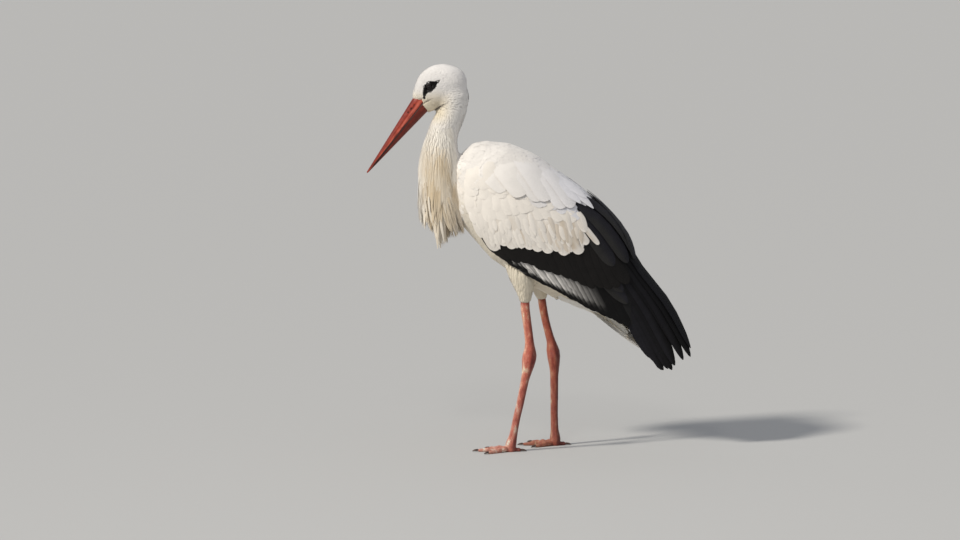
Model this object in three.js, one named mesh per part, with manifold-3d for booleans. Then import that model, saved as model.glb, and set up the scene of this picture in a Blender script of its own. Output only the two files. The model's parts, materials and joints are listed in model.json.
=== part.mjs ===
// A life-size white stork, standing on both feet with its bill lowered. Millimetres, +Z up.
// It faces -X, its left side is -Y and the floor is Z = 0. The origin is on the floor, under the
// middle of its length. Each part is a closed solid, 0.3 mm or a little more from the next.
import * as THREE from 'three';
import { mergeVertices } from 'three/addons/utils/BufferGeometryUtils.js';
import Module from 'manifold-3d';

const wasm = await Module();
wasm.setup();

// Driving dimensions.
const GAP = 0.35; // between neighbouring parts
const FINENESS = 0.2; // detail smaller than this is left out
const BILL_LENGTH = 182; // from the feathers to the tip
const BILL_BASE = new THREE.Vector3(-228, 0, 727);
const BILL_PITCH = 52; // degrees below the horizontal
const BILL_BASE_DEPTH = 41;
const BILL_BASE_WIDTH = 27;
const GAPE_OFFSET = 1.5; // the gape runs this far below the bill's middle line
const EYE = { centre: new THREE.Vector3(-208, 15, 766), radius: 8 };
const TOE_LENGTH = { inner: 54, middle: 69, outer: 60, hind: 25 };
const TOE_RADIUS = 6;
const CLAW_LENGTH = 11;
const SCALLOPS = 11; // tips along the lower edge of the white coverts
const SCALLOP_DEPTH = 9;
const PRIMARY_WIDTH = 27;
const PRIMARY_THICKNESS = 6;
const PRIMARY_BOW = 4; // how far the lowest primary bows; each one above it bows 1 mm more
const WING_THICKNESS = 9;
// How far each feather group stands proud of the one that it covers.
const LIFT = { secondaries: 0, tertials: 1, scapulars: 2, coverts: 3 };

const WHITE = { color: 0xe9e4da, roughness: 0.85 };
const TAWNY = { color: 0xd3c3a4, roughness: 0.85 };
const BLACK = { color: 0x1a191b, roughness: 0.6 };
const HORN_RED = { color: 0xb04a38, roughness: 0.45 };
const LEG_RED = { color: 0xb8604c, roughness: 0.6 };
const CLAW_BROWN = { color: 0x4a3328, roughness: 0.5 };
const EYE_BROWN = { color: 0x120c09, roughness: 0.1 };

// ---------- Solids ----------

function solidOf(geometry) {
  const plain = geometry.clone();
  plain.deleteAttribute('normal');
  plain.deleteAttribute('uv');
  const merged = mergeVertices(plain, 1e-3);
  return new wasm.Manifold(new wasm.Mesh({
    numProp: 3,
    vertProperties: merged.getAttribute('position').array,
    triVerts: new Uint32Array(merged.index.array),
  }));
}

function geometryOf(solid) {
  const mesh = solid.getMesh();
  const geometry = new THREE.BufferGeometry();
  geometry.setAttribute('position', new THREE.BufferAttribute(mesh.vertProperties, 3));
  geometry.setIndex(new THREE.BufferAttribute(mesh.triVerts, 1));
  return geometry;
}

const join = (solids) => solids.reduce((all, one) => all.add(one));

// How much of its radius a sweep keeps this close to a rounded end.
function endShare(distance, reach) {
  if (reach === 0 || distance >= reach) return 1;
  const left = 1 - distance / reach;
  return Math.sqrt(Math.max(0, 1 - left * left));
}

// A closed body along a spine. A station is [x, z, dorsal, ventral, side, y]: a point of the spine
// and the radii towards the bird's back, towards its front or belly, and to either side. round is
// the share of the length that each end takes to close, and square is the section's exponent.
function sweep(stations, { around = 20, along = 16, grow = 0, round = [0, 0], square = 2 } = {}) {
  const places = stations.map(([x, z, , , , y = 0]) => new THREE.Vector3(x, y, z));
  const sizes = stations.map(([, , dorsal, ventral, side]) => new THREE.Vector3(dorsal, ventral, side));
  const spine = new THREE.CatmullRomCurve3(places);
  const radii = new THREE.CatmullRomCurve3(sizes, false, 'catmullrom');
  const geometry = new THREE.SphereGeometry(1, around, along);
  const position = geometry.getAttribute('position');
  const uv = geometry.getAttribute('uv');
  const power = 2 / square;
  for (let i = 0; i < position.count; i++) {
    const row = Math.round((1 - uv.getY(i)) * along);
    const even = row / along;
    const s = THREE.MathUtils.lerp(even, (1 - Math.cos(Math.PI * even)) / 2, 0.5);
    const tangent = spine.getTangent(s);
    const side = new THREE.Vector3(0, 1, 0).addScaledVector(tangent, -tangent.y).normalize();
    const back = new THREE.Vector3().crossVectors(tangent, side);
    const place = spine.getPoint(s);
    if (row === 0 || row === along) {
      place.addScaledVector(tangent, row === 0 ? -grow : grow);
    } else {
      const share = endShare(s, round[0]) * endShare(1 - s, round[1]);
      const radius = radii.getPoint(s).multiplyScalar(share).addScalar(grow);
      const angle = 2 * Math.PI * uv.getX(i);
      const c = Math.cos(angle);
      const n = Math.sin(angle);
      place.addScaledVector(back, Math.sign(c) * Math.abs(c) ** power * (c > 0 ? radius.x : radius.y));
      place.addScaledVector(side, Math.sign(n) * Math.abs(n) ** power * radius.z);
    }
    position.setXYZ(i, place.x, place.y, place.z);
  }
  return solidOf(geometry);
}

// A body made alike on both sides of the middle plane, from its left side.
function evenSided(solid) {
  const left = solid.trimByPlane([0, -1, 0], 0);
  return left.add(left.mirror([0, 1, 0]));
}

// A slab across the bird with the given outline in the XZ plane.
function prism(outline, fromY, toY) {
  const options = { depth: toY - fromY, bevelEnabled: false };
  const geometry = new THREE.ExtrudeGeometry(new THREE.Shape(outline), options);
  geometry.rotateX(Math.PI / 2).translate(0, toY, 0);
  return solidOf(geometry);
}

// The outline moved outwards by a distance, for cutting a neighbour with a gap.
function widened(outline, distance) {
  const sign = THREE.ShapeUtils.isClockWise(outline) ? 1 : -1;
  return outline.map((point, i) => {
    const before = outline[(i + outline.length - 1) % outline.length];
    const after = outline[(i + 1) % outline.length];
    const along = after.clone().sub(before).normalize();
    return new THREE.Vector2(point.x - sign * along.y * distance, point.y + sign * along.x * distance);
  });
}

const outlineOf = (pairs) => pairs.map(([x, z]) => new THREE.Vector2(x, z));

// ---------- Bill, head and eyes ----------

const billWay = new THREE.Vector3(
  -Math.cos(THREE.MathUtils.degToRad(BILL_PITCH)), 0, -Math.sin(THREE.MathUtils.degToRad(BILL_PITCH)));

// The bill tapers almost evenly from its base, and closes in a blunt point.
function billStation(distance) {
  const left = Math.max(0, 1 - distance / BILL_LENGTH);
  const share = 0.1 + 0.9 * left;
  const place = BILL_BASE.clone().addScaledVector(billWay, distance);
  const depth = (BILL_BASE_DEPTH / 2) * share;
  return [place.x, place.z, depth, depth, (BILL_BASE_WIDTH / 2) * share ** 0.9];
}

const BILL_ROOT = -30; // the bill starts this far inside the head
function bill() {
  const stations = [BILL_ROOT, 0, 45, 90, 135, BILL_LENGTH].map(billStation);
  stations[0][2] = stations[1][2] * 0.9;
  stations[0][3] = stations[1][3] * 0.9;
  return evenSided(sweep(stations, { around: 12, along: 12, round: [0, 0.05] }));
}

// Half of the bill: the part above the gape's plane, or the part below it.
function billHalf(whole, upper) {
  const up = new THREE.Vector3(billWay.z, 0, -billWay.x); // across the bill, towards the forehead
  const level = up.dot(BILL_BASE) - GAPE_OFFSET;
  return upper
    ? whole.trimByPlane([up.x, up.y, up.z], level + GAP / 2)
    : whole.trimByPlane([-up.x, -up.y, -up.z], -(level - GAP / 2));
}

const headStations = [
  [-236, 721, 19, 17, 12],
  [-222, 731, 35, 24, 17],
  [-208, 741, 46.5, 28, 21],
  [-193, 753, 53, 33, 25],
  [-177, 766, 52.5, 38, 27],
  [-162, 777, 45, 41, 27],
  [-149, 787, 35, 36, 24],
  [-137, 796, 23, 28, 18],
];
const head = (grow) => evenSided(sweep(headStations, { around: 18, along: 13, grow, round: [0.05, 0.25] }));

function eye(side, grow = 0) {
  const geometry = new THREE.SphereGeometry(EYE.radius + grow, 12, 7);
  geometry.translate(EYE.centre.x, side * EYE.centre.y, EYE.centre.z);
  return solidOf(geometry);
}

// ---------- Neck and breast plumes ----------

const neckStations = [
  [-166, 765, 30, 34, 24],
  [-160, 745, 35, 36, 28],
  [-157, 722, 29, 31, 27],
  [-167, 698, 30, 31, 27],
  [-178, 675, 32, 32, 28],
  [-184, 652, 34, 34, 30],
  [-187, 630, 40, 38, 35],
  [-188, 601, 44, 43, 41],
  [-186, 565, 47, 47, 46],
  [-181, 527, 50, 50, 47],
  [-174, 499, 44, 44, 42],
  [-169, 478, 30, 30, 30],
];
const neck = (grow) => evenSided(sweep(neckStations, { around: 16, along: 16, grow, round: [0.05, 0.08] }));

// Long pointed plumes that hang from the breast: [angle from the front in degrees, tip height].
const plumes = [[0, 466], [24, 462], [48, 457], [74, 428], [98, 440], [122, 462]];
const PLUME_ROOT_HEIGHT = 540;
const PLUME_RING = { x: -181, reach: 46, side: 42 };
const PLUME_WIDTH = 21;
const PLUME_THICKNESS = 9;

function plume([angle, tipHeight], side, grow) {
  const turn = THREE.MathUtils.degToRad(angle);
  const station = (height, inward, size) => {
    const across = Math.abs(Math.sin(turn));
    const ahead = Math.abs(Math.cos(turn));
    const x = PLUME_RING.x - (PLUME_RING.reach - inward) * Math.cos(turn);
    const y = side * (PLUME_RING.side - inward) * Math.sin(turn);
    const halfX = (size / 2) * (PLUME_WIDTH * across + PLUME_THICKNESS * ahead);
    const halfY = (size / 2) * (PLUME_WIDTH * ahead + PLUME_THICKNESS * across);
    return [x, height, halfX, halfX, halfY, y];
  };
  const fall = PLUME_ROOT_HEIGHT - tipHeight;
  return sweep([
    station(PLUME_ROOT_HEIGHT, 7, 0.6), station(PLUME_ROOT_HEIGHT - fall * 0.35, 3, 1),
    station(PLUME_ROOT_HEIGHT - fall * 0.75, 5, 0.75), station(tipHeight, 9, 0.15),
  ], { around: 6, along: 4, grow, round: [0.2, 0.1] });
}

function neckAndPlumes(grow) {
  const hanging = plumes.map((one) => plume(one, -1, grow));
  return evenSided(join([neck(grow), ...hanging]));
}

// ---------- Trunk, thighs and tail ----------

const trunkStations = [
  [-168, 566, 38, 40, 26],
  [-147, 561, 82, 62, 46],
  [-124, 554, 106, 76, 62],
  [-71, 527, 123, 91, 78],
  [-15, 485, 121, 104, 83],
  [44, 432, 112, 94, 76],
  [103, 374, 92, 74, 58],
  [153, 322, 60, 43, 38],
  [192, 284, 24, 18, 22],
];
const trunk = (grow) => evenSided(
  sweep(trunkStations, { around: 22, along: 14, grow, round: [0.04, 0.1], square: 2.2 }));

const tailStations = [
  [104, 320, 20, 7, 20],
  [150, 285, 18, 6, 26],
  [200, 248, 9, 4.5, 33],
  [240, 215, 2.5, 2.5, 33],
];
const tail = (grow) => evenSided(
  sweep(tailStations, { around: 14, along: 8, grow, round: [0, 0.1], square: 2.4 }));

// ---------- Folded wings ----------

// The outside of the folded wings, from the shoulder to the wing tips.
const wingStations = [
  [-158, 574, 60, 60, 44],
  [-124, 554, 107, 84, 71],
  [-71, 527, 125, 98, 89],
  [-15, 485, 130, 110, 95],
  [44, 432, 140, 106, 92],
  [103, 374, 136, 98, 80],
  [153, 322, 114, 84, 64],
  [202, 277, 101, 74, 49],
  [250, 235, 83, 62, 37],
  [292, 205, 54, 48, 26],
  [330, 178, 24, 26, 12],
];
const wings = (grow) => evenSided(
  sweep(wingStations, { around: 22, along: 15, grow, round: [0.05, 0.05], square: 2.3 }));

const INWARD = -GAP; // the left wing stops just short of the middle plane
const OUTWARD = -200; // well clear of the wing's outside
const CLEAR = 10; // how much further a cutting slab reaches

// Side outlines of the left wing's feather groups, each drawn over the groups that it covers.
const frontEdge = [[-139, 606], [-136, 580], [-133, 556], [-124, 521], [-105, 476]];
const lowerEdge = [[-82, 436], [-62, 415], [-29, 391], [34, 353], [97, 318], [165, 283], [214, 257]];
const ridge = [[320, 420], [160, 760], [-120, 760]]; // well above the back

const scapularOutline = outlineOf([
  [-122, 700], [-128, 640], [-116, 598], [-96, 597], [-76, 586], [-58, 566], [-18, 552], [44, 536],
  [90, 521],
  [109, 529], [136, 513], [128, 552], [150, 600], [100, 700],
]);

// The coverts' lower edge is a row of rounded feather tips.
function scallops(from, to) {
  const path = new THREE.Path();
  path.moveTo(...from);
  for (let i = 0; i < SCALLOPS; i++) {
    const share = (i + 1) / SCALLOPS;
    const middle = (i + 0.5) / SCALLOPS;
    const sag = 10 * Math.sin(Math.PI * middle) + 1.6 * SCALLOP_DEPTH;
    const end = [THREE.MathUtils.lerp(from[0], to[0], share), THREE.MathUtils.lerp(from[1], to[1], share)];
    path.quadraticCurveTo(
      THREE.MathUtils.lerp(from[0], to[0], middle), THREE.MathUtils.lerp(from[1], to[1], middle) - sag,
      end[0], end[1] - 10 * Math.sin(Math.PI * share));
  }
  return path.getPoints(3).map((p) => [p.x, p.y]);
}

const covertOutline = outlineOf([
  ...frontEdge, ...scallops([-98, 455], [150, 445]), [92, 522], [70, 580], [-60, 640], [-110, 640]]);

const tertialOutline = outlineOf([
  [70, 560], [150, 446], [174, 392], [188, 356], [205, 364], [237, 405], [242, 440], [320, 500],
  [160, 700]]);

const secondaryOutline = outlineOf([
  ...frontEdge, ...lowerEdge, [224, 300], [240, 360], [250, 420], ...ridge]);

// The left wing's shell inside one outline, standing proud by a lift, less the groups above it.
function wingPiece(outline, lift, covering, inside) {
  let piece = prism(outline, OUTWARD, INWARD).intersect(wings(lift)).subtract(inside);
  for (const above of covering) piece = piece.subtract(prism(widened(above, GAP), OUTWARD - CLEAR, CLEAR));
  return largest(piece);
}

// The room that the left wing's shell takes, with the gap around it.
function wingSpace() {
  const outlines = [scapularOutline, covertOutline, tertialOutline, secondaryOutline];
  const sides = join(outlines.map((outline) => prism(widened(outline, GAP), OUTWARD, 0)));
  return sides.intersect(wings(LIFT.coverts + GAP)).subtract(wings(-WING_THICKNESS - GAP));
}

// Booleans can leave a crumb beside the piece; the piece is the largest body.
function largest(solid) {
  return solid.decompose().reduce((a, b) => (a.volume() > b.volume() ? a : b));
}

// The primaries are long blades that fan out beyond the other feathers: [root x, y, z, tip x, y, z].
const primaries = [
  [198, -25, 272, 256, -20, 192],
  [201, -23, 294, 273, -18, 174],
  [203, -21, 318, 291, -16, 165],
  [206, -18.5, 340, 306, -14, 169],
  [211, -16, 360, 330, -11.5, 179],
  [217, -14.2, 374, 337, -10, 210],
];

function primary([x, y, z, tipX, tipY, tipZ], bow) {
  const at = (share, lift) => [
    THREE.MathUtils.lerp(x, tipX, share) + lift, THREE.MathUtils.lerp(z, tipZ, share) + lift * 0.6,
    THREE.MathUtils.lerp(y, tipY, share)];
  const blade = (share, lift, width) => {
    const [px, pz, py] = at(share, lift);
    return [px, pz, width, width, PRIMARY_THICKNESS / 2, py];
  };
  const half = PRIMARY_WIDTH / 2;
  return sweep([
    blade(0, 0, half * 0.8), blade(0.35, bow * 0.8, half), blade(0.7, bow, half),
    blade(0.93, bow * 0.25, half * 0.6), blade(1, 0, half * 0.2),
  ], { around: 6, along: 6, round: [0.1, 0.05] });
}

// ---------- Legs ----------

// Each leg: side, the stations of its feathered thigh, and those of the bare leg from the shank down
// past the heel, where the shank ends and the tarsus begins.
const legs = {
  left: {
    side: -1,
    thigh: [[-23, 430, 34, 34, 30, -42], [-17, 384, 31, 31, 27, -43], [-11, 352, 23, 22, 20, -43],
      [-9, 331, 14, 13, 13, -43], [-8, 312, 10, 10, 9.5, -43]],
    bare: [[-9, 328, 9, 9, 7.5, -43], [-8, 300, 9, 9, 7.5, -43], [-4, 272, 8.6, 8.6, 7, -43],
      [0, 240, 8.6, 8.6, 7.2, -43], [1.5, 222, 10, 9.5, 9, -43], [1, 206, 14.5, 13.5, 12.5, -43],
      [-1, 190, 14, 14, 13, -43], [-4, 172, 10.5, 10, 9, -43], [-9, 150, 8, 8, 6.5, -43],
      [-17, 109, 7.5, 7.5, 6, -43], [-27, 66, 7.3, 7.3, 6, -43], [-33, 34, 8, 8, 7.5, -43],
      [-38, 14, 11, 11, 11, -43], [-40, -8, 9, 9, 9, -43]],
    heel: 213,
    ankle: [-40, -43],
    turn: 3,
  },
  right: {
    side: 1,
    thigh: [[14, 425, 32, 32, 28, 42], [19, 380, 28, 28, 26, 42], [23, 345, 20, 20, 19, 42],
      [26, 325, 13, 13, 13, 42], [28, 309, 9.5, 9.5, 9, 42]],
    bare: [[26, 324, 8, 8, 7, 42], [29, 300, 8, 8, 7, 42], [35, 268, 7.7, 7.7, 6.5, 42],
      [43, 236, 8, 8, 7, 42], [48, 218, 9.5, 9, 9, 42], [51, 202, 13.5, 12.5, 12.5, 42],
      [53, 186, 13, 13, 12.5, 42], [54, 168, 10, 10, 9, 42], [54, 144, 8, 8, 6.5, 42],
      [54, 99, 7.7, 7.7, 6, 42], [54, 60, 7.5, 7.5, 6, 42], [55, 32, 8, 8, 7.5, 42],
      [56, 14, 11, 11, 11, 42], [55, -8, 9, 9, 9, 42]],
    heel: 209,
    ankle: [55, 42],
    turn: -2,
  },
};

// Toes spread from the ankle: degrees from straight ahead, positive towards the bird's outer side.
const TOE_SPREAD = { inner: -36, middle: 0, outer: 36, hind: 176 };
const TOE_JOINTS = { inner: 2, middle: 3, outer: 4, hind: 1 };

// A point on a toe's line, at a distance from the ankle.
function toePoint(leg, toe, distance) {
  const turn = THREE.MathUtils.degToRad(leg.side * (TOE_SPREAD[toe] + leg.turn));
  return [leg.ankle[0] - distance * Math.cos(turn), leg.ankle[1] + distance * Math.sin(turn)];
}

// A toe is swept from its tip to the ankle, with a swelling at each joint.
function toe(leg, name, grow = 0) {
  const length = TOE_LENGTH[name];
  const steps = 2 * TOE_JOINTS[name] + 2;
  const stations = Array.from({ length: steps + 1 }, (_, i) => {
    const share = 1 - i / steps; // 1 at the tip
    const [x, y] = toePoint(leg, name, length * share);
    const swell = 1 + 0.16 * Math.cos(2 * Math.PI * TOE_JOINTS[name] * share);
    const radius = TOE_RADIUS * (1 - 0.42 * share) * swell;
    const height = radius + 3 * (1 - share) ** 3;
    return [x, height - 0.8, radius, radius, radius * 1.05, y];
  });
  return sweep(stations, { around: 7, along: steps, grow, round: [0.12, 0] });
}

function claw(leg, name) {
  const start = TOE_LENGTH[name];
  const at = (ahead) => toePoint(leg, name, start + ahead);
  const [x0, y0] = at(-5);
  const [x1, y1] = at(CLAW_LENGTH * 0.5);
  const [x2, y2] = at(CLAW_LENGTH);
  return sweep([
    [x2, 1.1, 0.6, 0.6, 0.6, y2], [x1, 3.2, 2, 2, 2.1, y1], [x0, 4.2, 2.8, 2.8, 3, y0],
  ], { around: 6, along: 4, round: [0.1, 0] });
}

// ---------- The bird ----------

const stork = new THREE.Group();

function place(name, solid, look, mirrored = false) {
  const mesh = new THREE.Mesh(geometryOf(solid.simplify(FINENESS)), new THREE.MeshStandardMaterial(look));
  mesh.name = name;
  if (mirrored) mesh.scale.y = -1;
  stork.add(mesh);
}

// Halves a body at a plane across it, leaving a gap, and returns [the part before, the part after].
function partAt(solid, normal, level) {
  return [
    solid.trimByPlane(normal.map((n) => -n), -(level - GAP / 2)),
    solid.trimByPlane(normal, level + GAP / 2),
  ];
}

function placeHead() {
  const skull = head(0);
  const widerSkull = head(GAP);
  const whole = bill().subtract(widerSkull);
  place('head', skull.subtract(eye(-1, GAP)).subtract(eye(1, GAP)), WHITE);
  place('bill_upper', largest(billHalf(whole, true)), HORN_RED);
  place('bill_lower', largest(billHalf(whole, false)), HORN_RED);
  for (const [name, side] of [['left', -1], ['right', 1]]) place(`eye_${name}`, eye(side), EYE_BROWN);
  return widerSkull.add(bill());
}

const NECK_CUT = { upper: 668, lower: 612 }; // heights of the cuts across the neck

function placeNeck(headSpace) {
  const whole = largest(neckAndPlumes(0).subtract(headSpace));
  const [below, upper] = partAt(whole, [0, 0, 1], NECK_CUT.upper);
  const [breast, lower] = partAt(below, [0, 0, 1], NECK_CUT.lower);
  place('neck_upper', largest(upper), WHITE);
  place('neck_lower', largest(lower), WHITE);
  place('breast_plumes', largest(breast), TAWNY);
}

function placeWings(trunkSpace) {
  const inside = wings(-WING_THICKNESS).add(trunkSpace);
  const pieces = {
    scapulars: [wingPiece(scapularOutline, LIFT.scapulars, [], inside), WHITE],
    wing_coverts: [wingPiece(covertOutline, LIFT.coverts, [scapularOutline], inside), WHITE],
    wing_tertials: [
      wingPiece(tertialOutline, LIFT.tertials, [scapularOutline, covertOutline], inside), BLACK],
    wing_secondaries: [
      wingPiece(
        secondaryOutline, LIFT.secondaries, [scapularOutline, covertOutline, tertialOutline], inside), BLACK],
  };
  for (const [name, [solid, look]] of Object.entries(pieces)) {
    place(`${name}_left`, solid, look);
    place(`${name}_right`, solid, look, true);
  }
}

function placePrimaries(spaces) {
  const fan = join(primaries.map((one, i) => primary(one, PRIMARY_BOW + i)));
  const outside = spaces.reduce((left, space) => left.subtract(space), fan);
  const clear = largest(outside.trimByPlane([0, -1, 0], GAP));
  place('wing_primaries_left', clear, BLACK);
  place('wing_primaries_right', clear, BLACK, true);
}

function placeLeg(name, leg, bodySpace) {
  const thighOptions = { around: 12, along: 8, round: [0.1, 0.05] };
  const thigh = sweep(leg.thigh, thighOptions);
  const thighSpace = sweep(leg.thigh, { ...thighOptions, grow: GAP });
  const bareOptions = { around: 10, along: 24, round: [0, 0.03] };
  const bare = sweep(leg.bare, bareOptions).subtract(thighSpace).trimByPlane([0, 0, 1], 0);
  place(`thigh_${name}`, largest(thigh.subtract(bodySpace)), WHITE);
  place(`shank_${name}`, largest(bare.trimByPlane([0, 0, 1], leg.heel + GAP)), LEG_RED);
  place(`tarsus_${name}`, largest(bare.trimByPlane([0, 0, -1], -leg.heel)), LEG_RED);
  const done = [sweep(leg.bare, { ...bareOptions, grow: GAP })];
  for (const toeName of Object.keys(TOE_LENGTH)) {
    const cut = (solid) => {
      const clear = done.reduce((left, space) => left.subtract(space), solid);
      return largest(clear.trimByPlane([0, 0, 1], 0));
    };
    const made = cut(toe(leg, toeName));
    const toeSpace = toe(leg, toeName, GAP);
    done.push(toeSpace);
    place(`toe_${toeName}_${name}`, made, LEG_RED);
    place(`claw_${toeName}_${name}`, cut(claw(leg, toeName)), CLAW_BROWN);
  }
}

const headSpace = placeHead();
placeNeck(headSpace);
const frontSpace = neckAndPlumes(GAP).add(head(GAP));
const body = trunk(0).subtract(frontSpace);
place('trunk', largest(body), WHITE);
const trunkSpace = trunk(GAP).add(frontSpace);
placeWings(trunkSpace);
const shell = wingSpace();
placeLeg('left', legs.left, trunkSpace.add(shell));
placeLeg('right', legs.right, trunkSpace.add(shell.mirror([0, 1, 0])));
const shells = shell.add(shell.mirror([0, 1, 0]));
place('tail', largest(tail(0).subtract(trunkSpace).subtract(shells)), WHITE);
placePrimaries([trunkSpace, shell, tail(GAP)]);

export default stork;
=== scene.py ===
"""A white stork, standing with its bill lowered: the looks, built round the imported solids.

Metres, +Z up. The bird faces -X and its left side is -Y, as in the solids. One skin takes the
place of the solids of flesh. Every feather is a thin closed vane: small ones lie on that skin, the rows
of the wings lie on a smooth body that both folded wings make, and the breast's lances hang.
"""

import json
import math

import bmesh
import bpy
import numpy as np
from mathutils import Matrix, Vector
from mathutils.bvhtree import BVHTree

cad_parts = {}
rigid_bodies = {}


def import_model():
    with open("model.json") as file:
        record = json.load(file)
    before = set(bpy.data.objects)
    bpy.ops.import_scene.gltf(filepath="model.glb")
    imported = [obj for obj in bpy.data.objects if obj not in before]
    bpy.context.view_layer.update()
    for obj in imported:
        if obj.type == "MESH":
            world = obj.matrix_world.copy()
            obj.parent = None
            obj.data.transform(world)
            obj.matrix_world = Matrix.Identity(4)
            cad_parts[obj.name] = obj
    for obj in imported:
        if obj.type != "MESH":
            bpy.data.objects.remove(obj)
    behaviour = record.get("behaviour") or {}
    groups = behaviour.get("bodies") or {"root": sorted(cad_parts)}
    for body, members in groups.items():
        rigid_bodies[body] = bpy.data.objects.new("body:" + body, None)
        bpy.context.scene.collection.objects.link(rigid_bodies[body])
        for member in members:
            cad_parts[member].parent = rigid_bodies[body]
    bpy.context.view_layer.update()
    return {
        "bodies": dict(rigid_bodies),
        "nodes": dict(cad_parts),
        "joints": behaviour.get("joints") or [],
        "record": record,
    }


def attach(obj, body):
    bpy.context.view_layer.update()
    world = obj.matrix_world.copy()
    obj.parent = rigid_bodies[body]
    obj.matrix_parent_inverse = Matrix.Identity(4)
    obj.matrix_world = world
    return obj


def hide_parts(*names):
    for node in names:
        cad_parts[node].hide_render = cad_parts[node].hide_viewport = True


MM = 0.001
SIDES = {"left": -1, "right": 1}
TOES = ("inner", "middle", "outer", "hind")
ACROSS = np.array([0.0, 1.0, 0.0])  # level, from the bird's left to its right
rng = np.random.default_rng(20)

# The camera: a long lens, a little above the bird, square to its left side.
FRAME_WIDTH = 2.016  # metres across the picture at the bird
PICTURE = (960, 540)  # the picture's pixels, in which feathers are placed
PIXEL = FRAME_WIDTH / PICTURE[0]
CAMERA_DISTANCE = 12.0
CAMERA_ELEVATION = math.radians(7)
AIM = Vector((-0.1029, 0.0, 0.3787))
SENSOR = 36.0

# Albedos, linear.
WHITE = np.array([0.83, 0.79, 0.74])
HEAD_WHITE = np.array([0.84, 0.81, 0.78])
BACK_WHITE = np.array([0.77, 0.76, 0.785])
# Painted shade: the dark brown of the face's creases.
CREASE_SHADE = np.array([0.06, 0.038, 0.024])
# The lower face's warm cream: partly its own stain, partly painted shade where the face turns down away from
# the light.
CHEEK_STAIN_AND_SHADE = np.array([0.80, 0.69, 0.49])
# Painted shade: the grey of the nape, where the light from the front and left leaves the rear of the neck in
# shade.
NAPE_SHADE = np.array([0.55, 0.56, 0.56])
COVERT_WHITE = np.array([0.84, 0.785, 0.71])
STAIN = np.array([0.50, 0.39, 0.26])
BELLY = np.array([0.77, 0.69, 0.545])
TAWNY = np.array([0.62, 0.48, 0.31])
RUFF_WHITE = np.array([0.86, 0.81, 0.72])
RUFF_TAN = np.array([0.58, 0.43, 0.23])
CREAM = np.array([0.80, 0.73, 0.61])
BLACK = np.array([0.0052, 0.0048, 0.0050])
# The black coverts' warm brown-black is their own colour, lightened as painted sheen.
WARM_BLACK_AND_SHEEN = BLACK * np.array([2.0, 1.9, 1.7])
# Painted sheen: the bluish gloss of the black wing feathers, put into their colour.
BLUISH_SHEEN = np.array([0.013, 0.0125, 0.016])
SILVER = np.array([0.95, 0.91, 0.86])
FACE_BLACK = np.array([0.006, 0.005, 0.005])

FLESH = ["head", "neck_upper", "neck_lower", "breast_plumes", "trunk"]
FLESH += [f"{part}_{side}" for part in ("thigh", "shank", "tarsus") for side in SIDES]
FLESH += [f"toe_{toe}_{side}" for toe in TOES for side in SIDES]
WING_PARTS = ["scapulars", "wing_coverts", "wing_tertials", "wing_secondaries"]

EYE_CENTRE = Vector((-0.208, 0.0151, 0.766))
EYE_RADIUS = 0.008


# ---------- Meshes ----------


def mesh_object(name, points, faces, smooth=True):
    """A new mesh object in the scene."""
    mesh = bpy.data.meshes.new(name)
    mesh.from_pydata([tuple(p) for p in points], [], [tuple(f) for f in faces])
    mesh.update()
    obj = bpy.data.objects.new(name, mesh)
    bpy.context.scene.collection.objects.link(obj)
    if smooth:
        mesh.shade_smooth()
    return obj


def arrays_of(obj):
    """A mesh object's points and triangles."""
    mesh = obj.data
    mesh.calc_loop_triangles()
    points = np.zeros(len(mesh.vertices) * 3)
    mesh.vertices.foreach_get("co", points)
    triangles = np.zeros(len(mesh.loop_triangles) * 3, int)
    mesh.loop_triangles.foreach_get("vertices", triangles)
    return points.reshape(-1, 3), triangles.reshape(-1, 3)


def joined(pieces):
    """Points and triangles of several meshes as one."""
    points, triangles, count = [], [], 0
    for p, t in pieces:
        points.append(p)
        triangles.append(np.asarray(t) + count)
        count += len(p)
    return np.concatenate(points), np.concatenate(triangles)


def face_outward(obj):
    """The faces of a closed mesh, all turned to its outside."""
    bm = bmesh.new()
    bm.from_mesh(obj.data)
    bmesh.ops.recalc_face_normals(bm, faces=bm.faces)
    bm.to_mesh(obj.data)
    bm.free()


def move_points(obj, points):
    obj.data.vertices.foreach_set("co", points.ravel())
    obj.data.update()


def apply_modifiers(obj):
    depsgraph = bpy.context.evaluated_depsgraph_get()
    mesh = bpy.data.meshes.new_from_object(obj.evaluated_get(depsgraph))
    obj.modifiers.clear()
    obj.data = mesh
    return obj


def remeshed(name, points, triangles, voxel, smoothing):
    """One smooth closed surface round all the given closed bodies."""
    obj = mesh_object(name, points, triangles)
    remesh = obj.modifiers.new("remesh", "REMESH")
    remesh.mode = "VOXEL"
    remesh.voxel_size = voxel
    smooth = obj.modifiers.new("smooth", "SMOOTH")
    smooth.factor = 0.5
    smooth.iterations = smoothing
    return apply_modifiers(obj)


def paint(obj, shades):
    """The mesh's own colour at each point, which its look reads."""
    tone = obj.data.color_attributes.new("tone", "FLOAT_COLOR", "POINT")
    tone.data.foreach_set("color", np.concatenate([shades, np.ones((len(shades), 1))], 1).ravel())


def point_normals(mesh):
    normals = np.zeros(len(mesh.vertices) * 3)
    mesh.vertices.foreach_get("normal", normals)
    return normals.reshape(-1, 3)


def unit(vectors):
    return vectors / np.maximum(np.linalg.norm(vectors, axis=-1, keepdims=True), 1e-12)


def step(edge0, edge1, value):
    """0 below edge0, 1 above edge1, smooth between."""
    t = np.clip((np.asarray(value, float) - edge0) / (edge1 - edge0), 0, 1)
    return t * t * (3 - 2 * t)


def mixed(a, b, share):
    return a + (b - a) * np.asarray(share)[..., None]


# ---------- Spines: lines down the middle of the bird, as [x, z] in millimetres ----------

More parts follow.
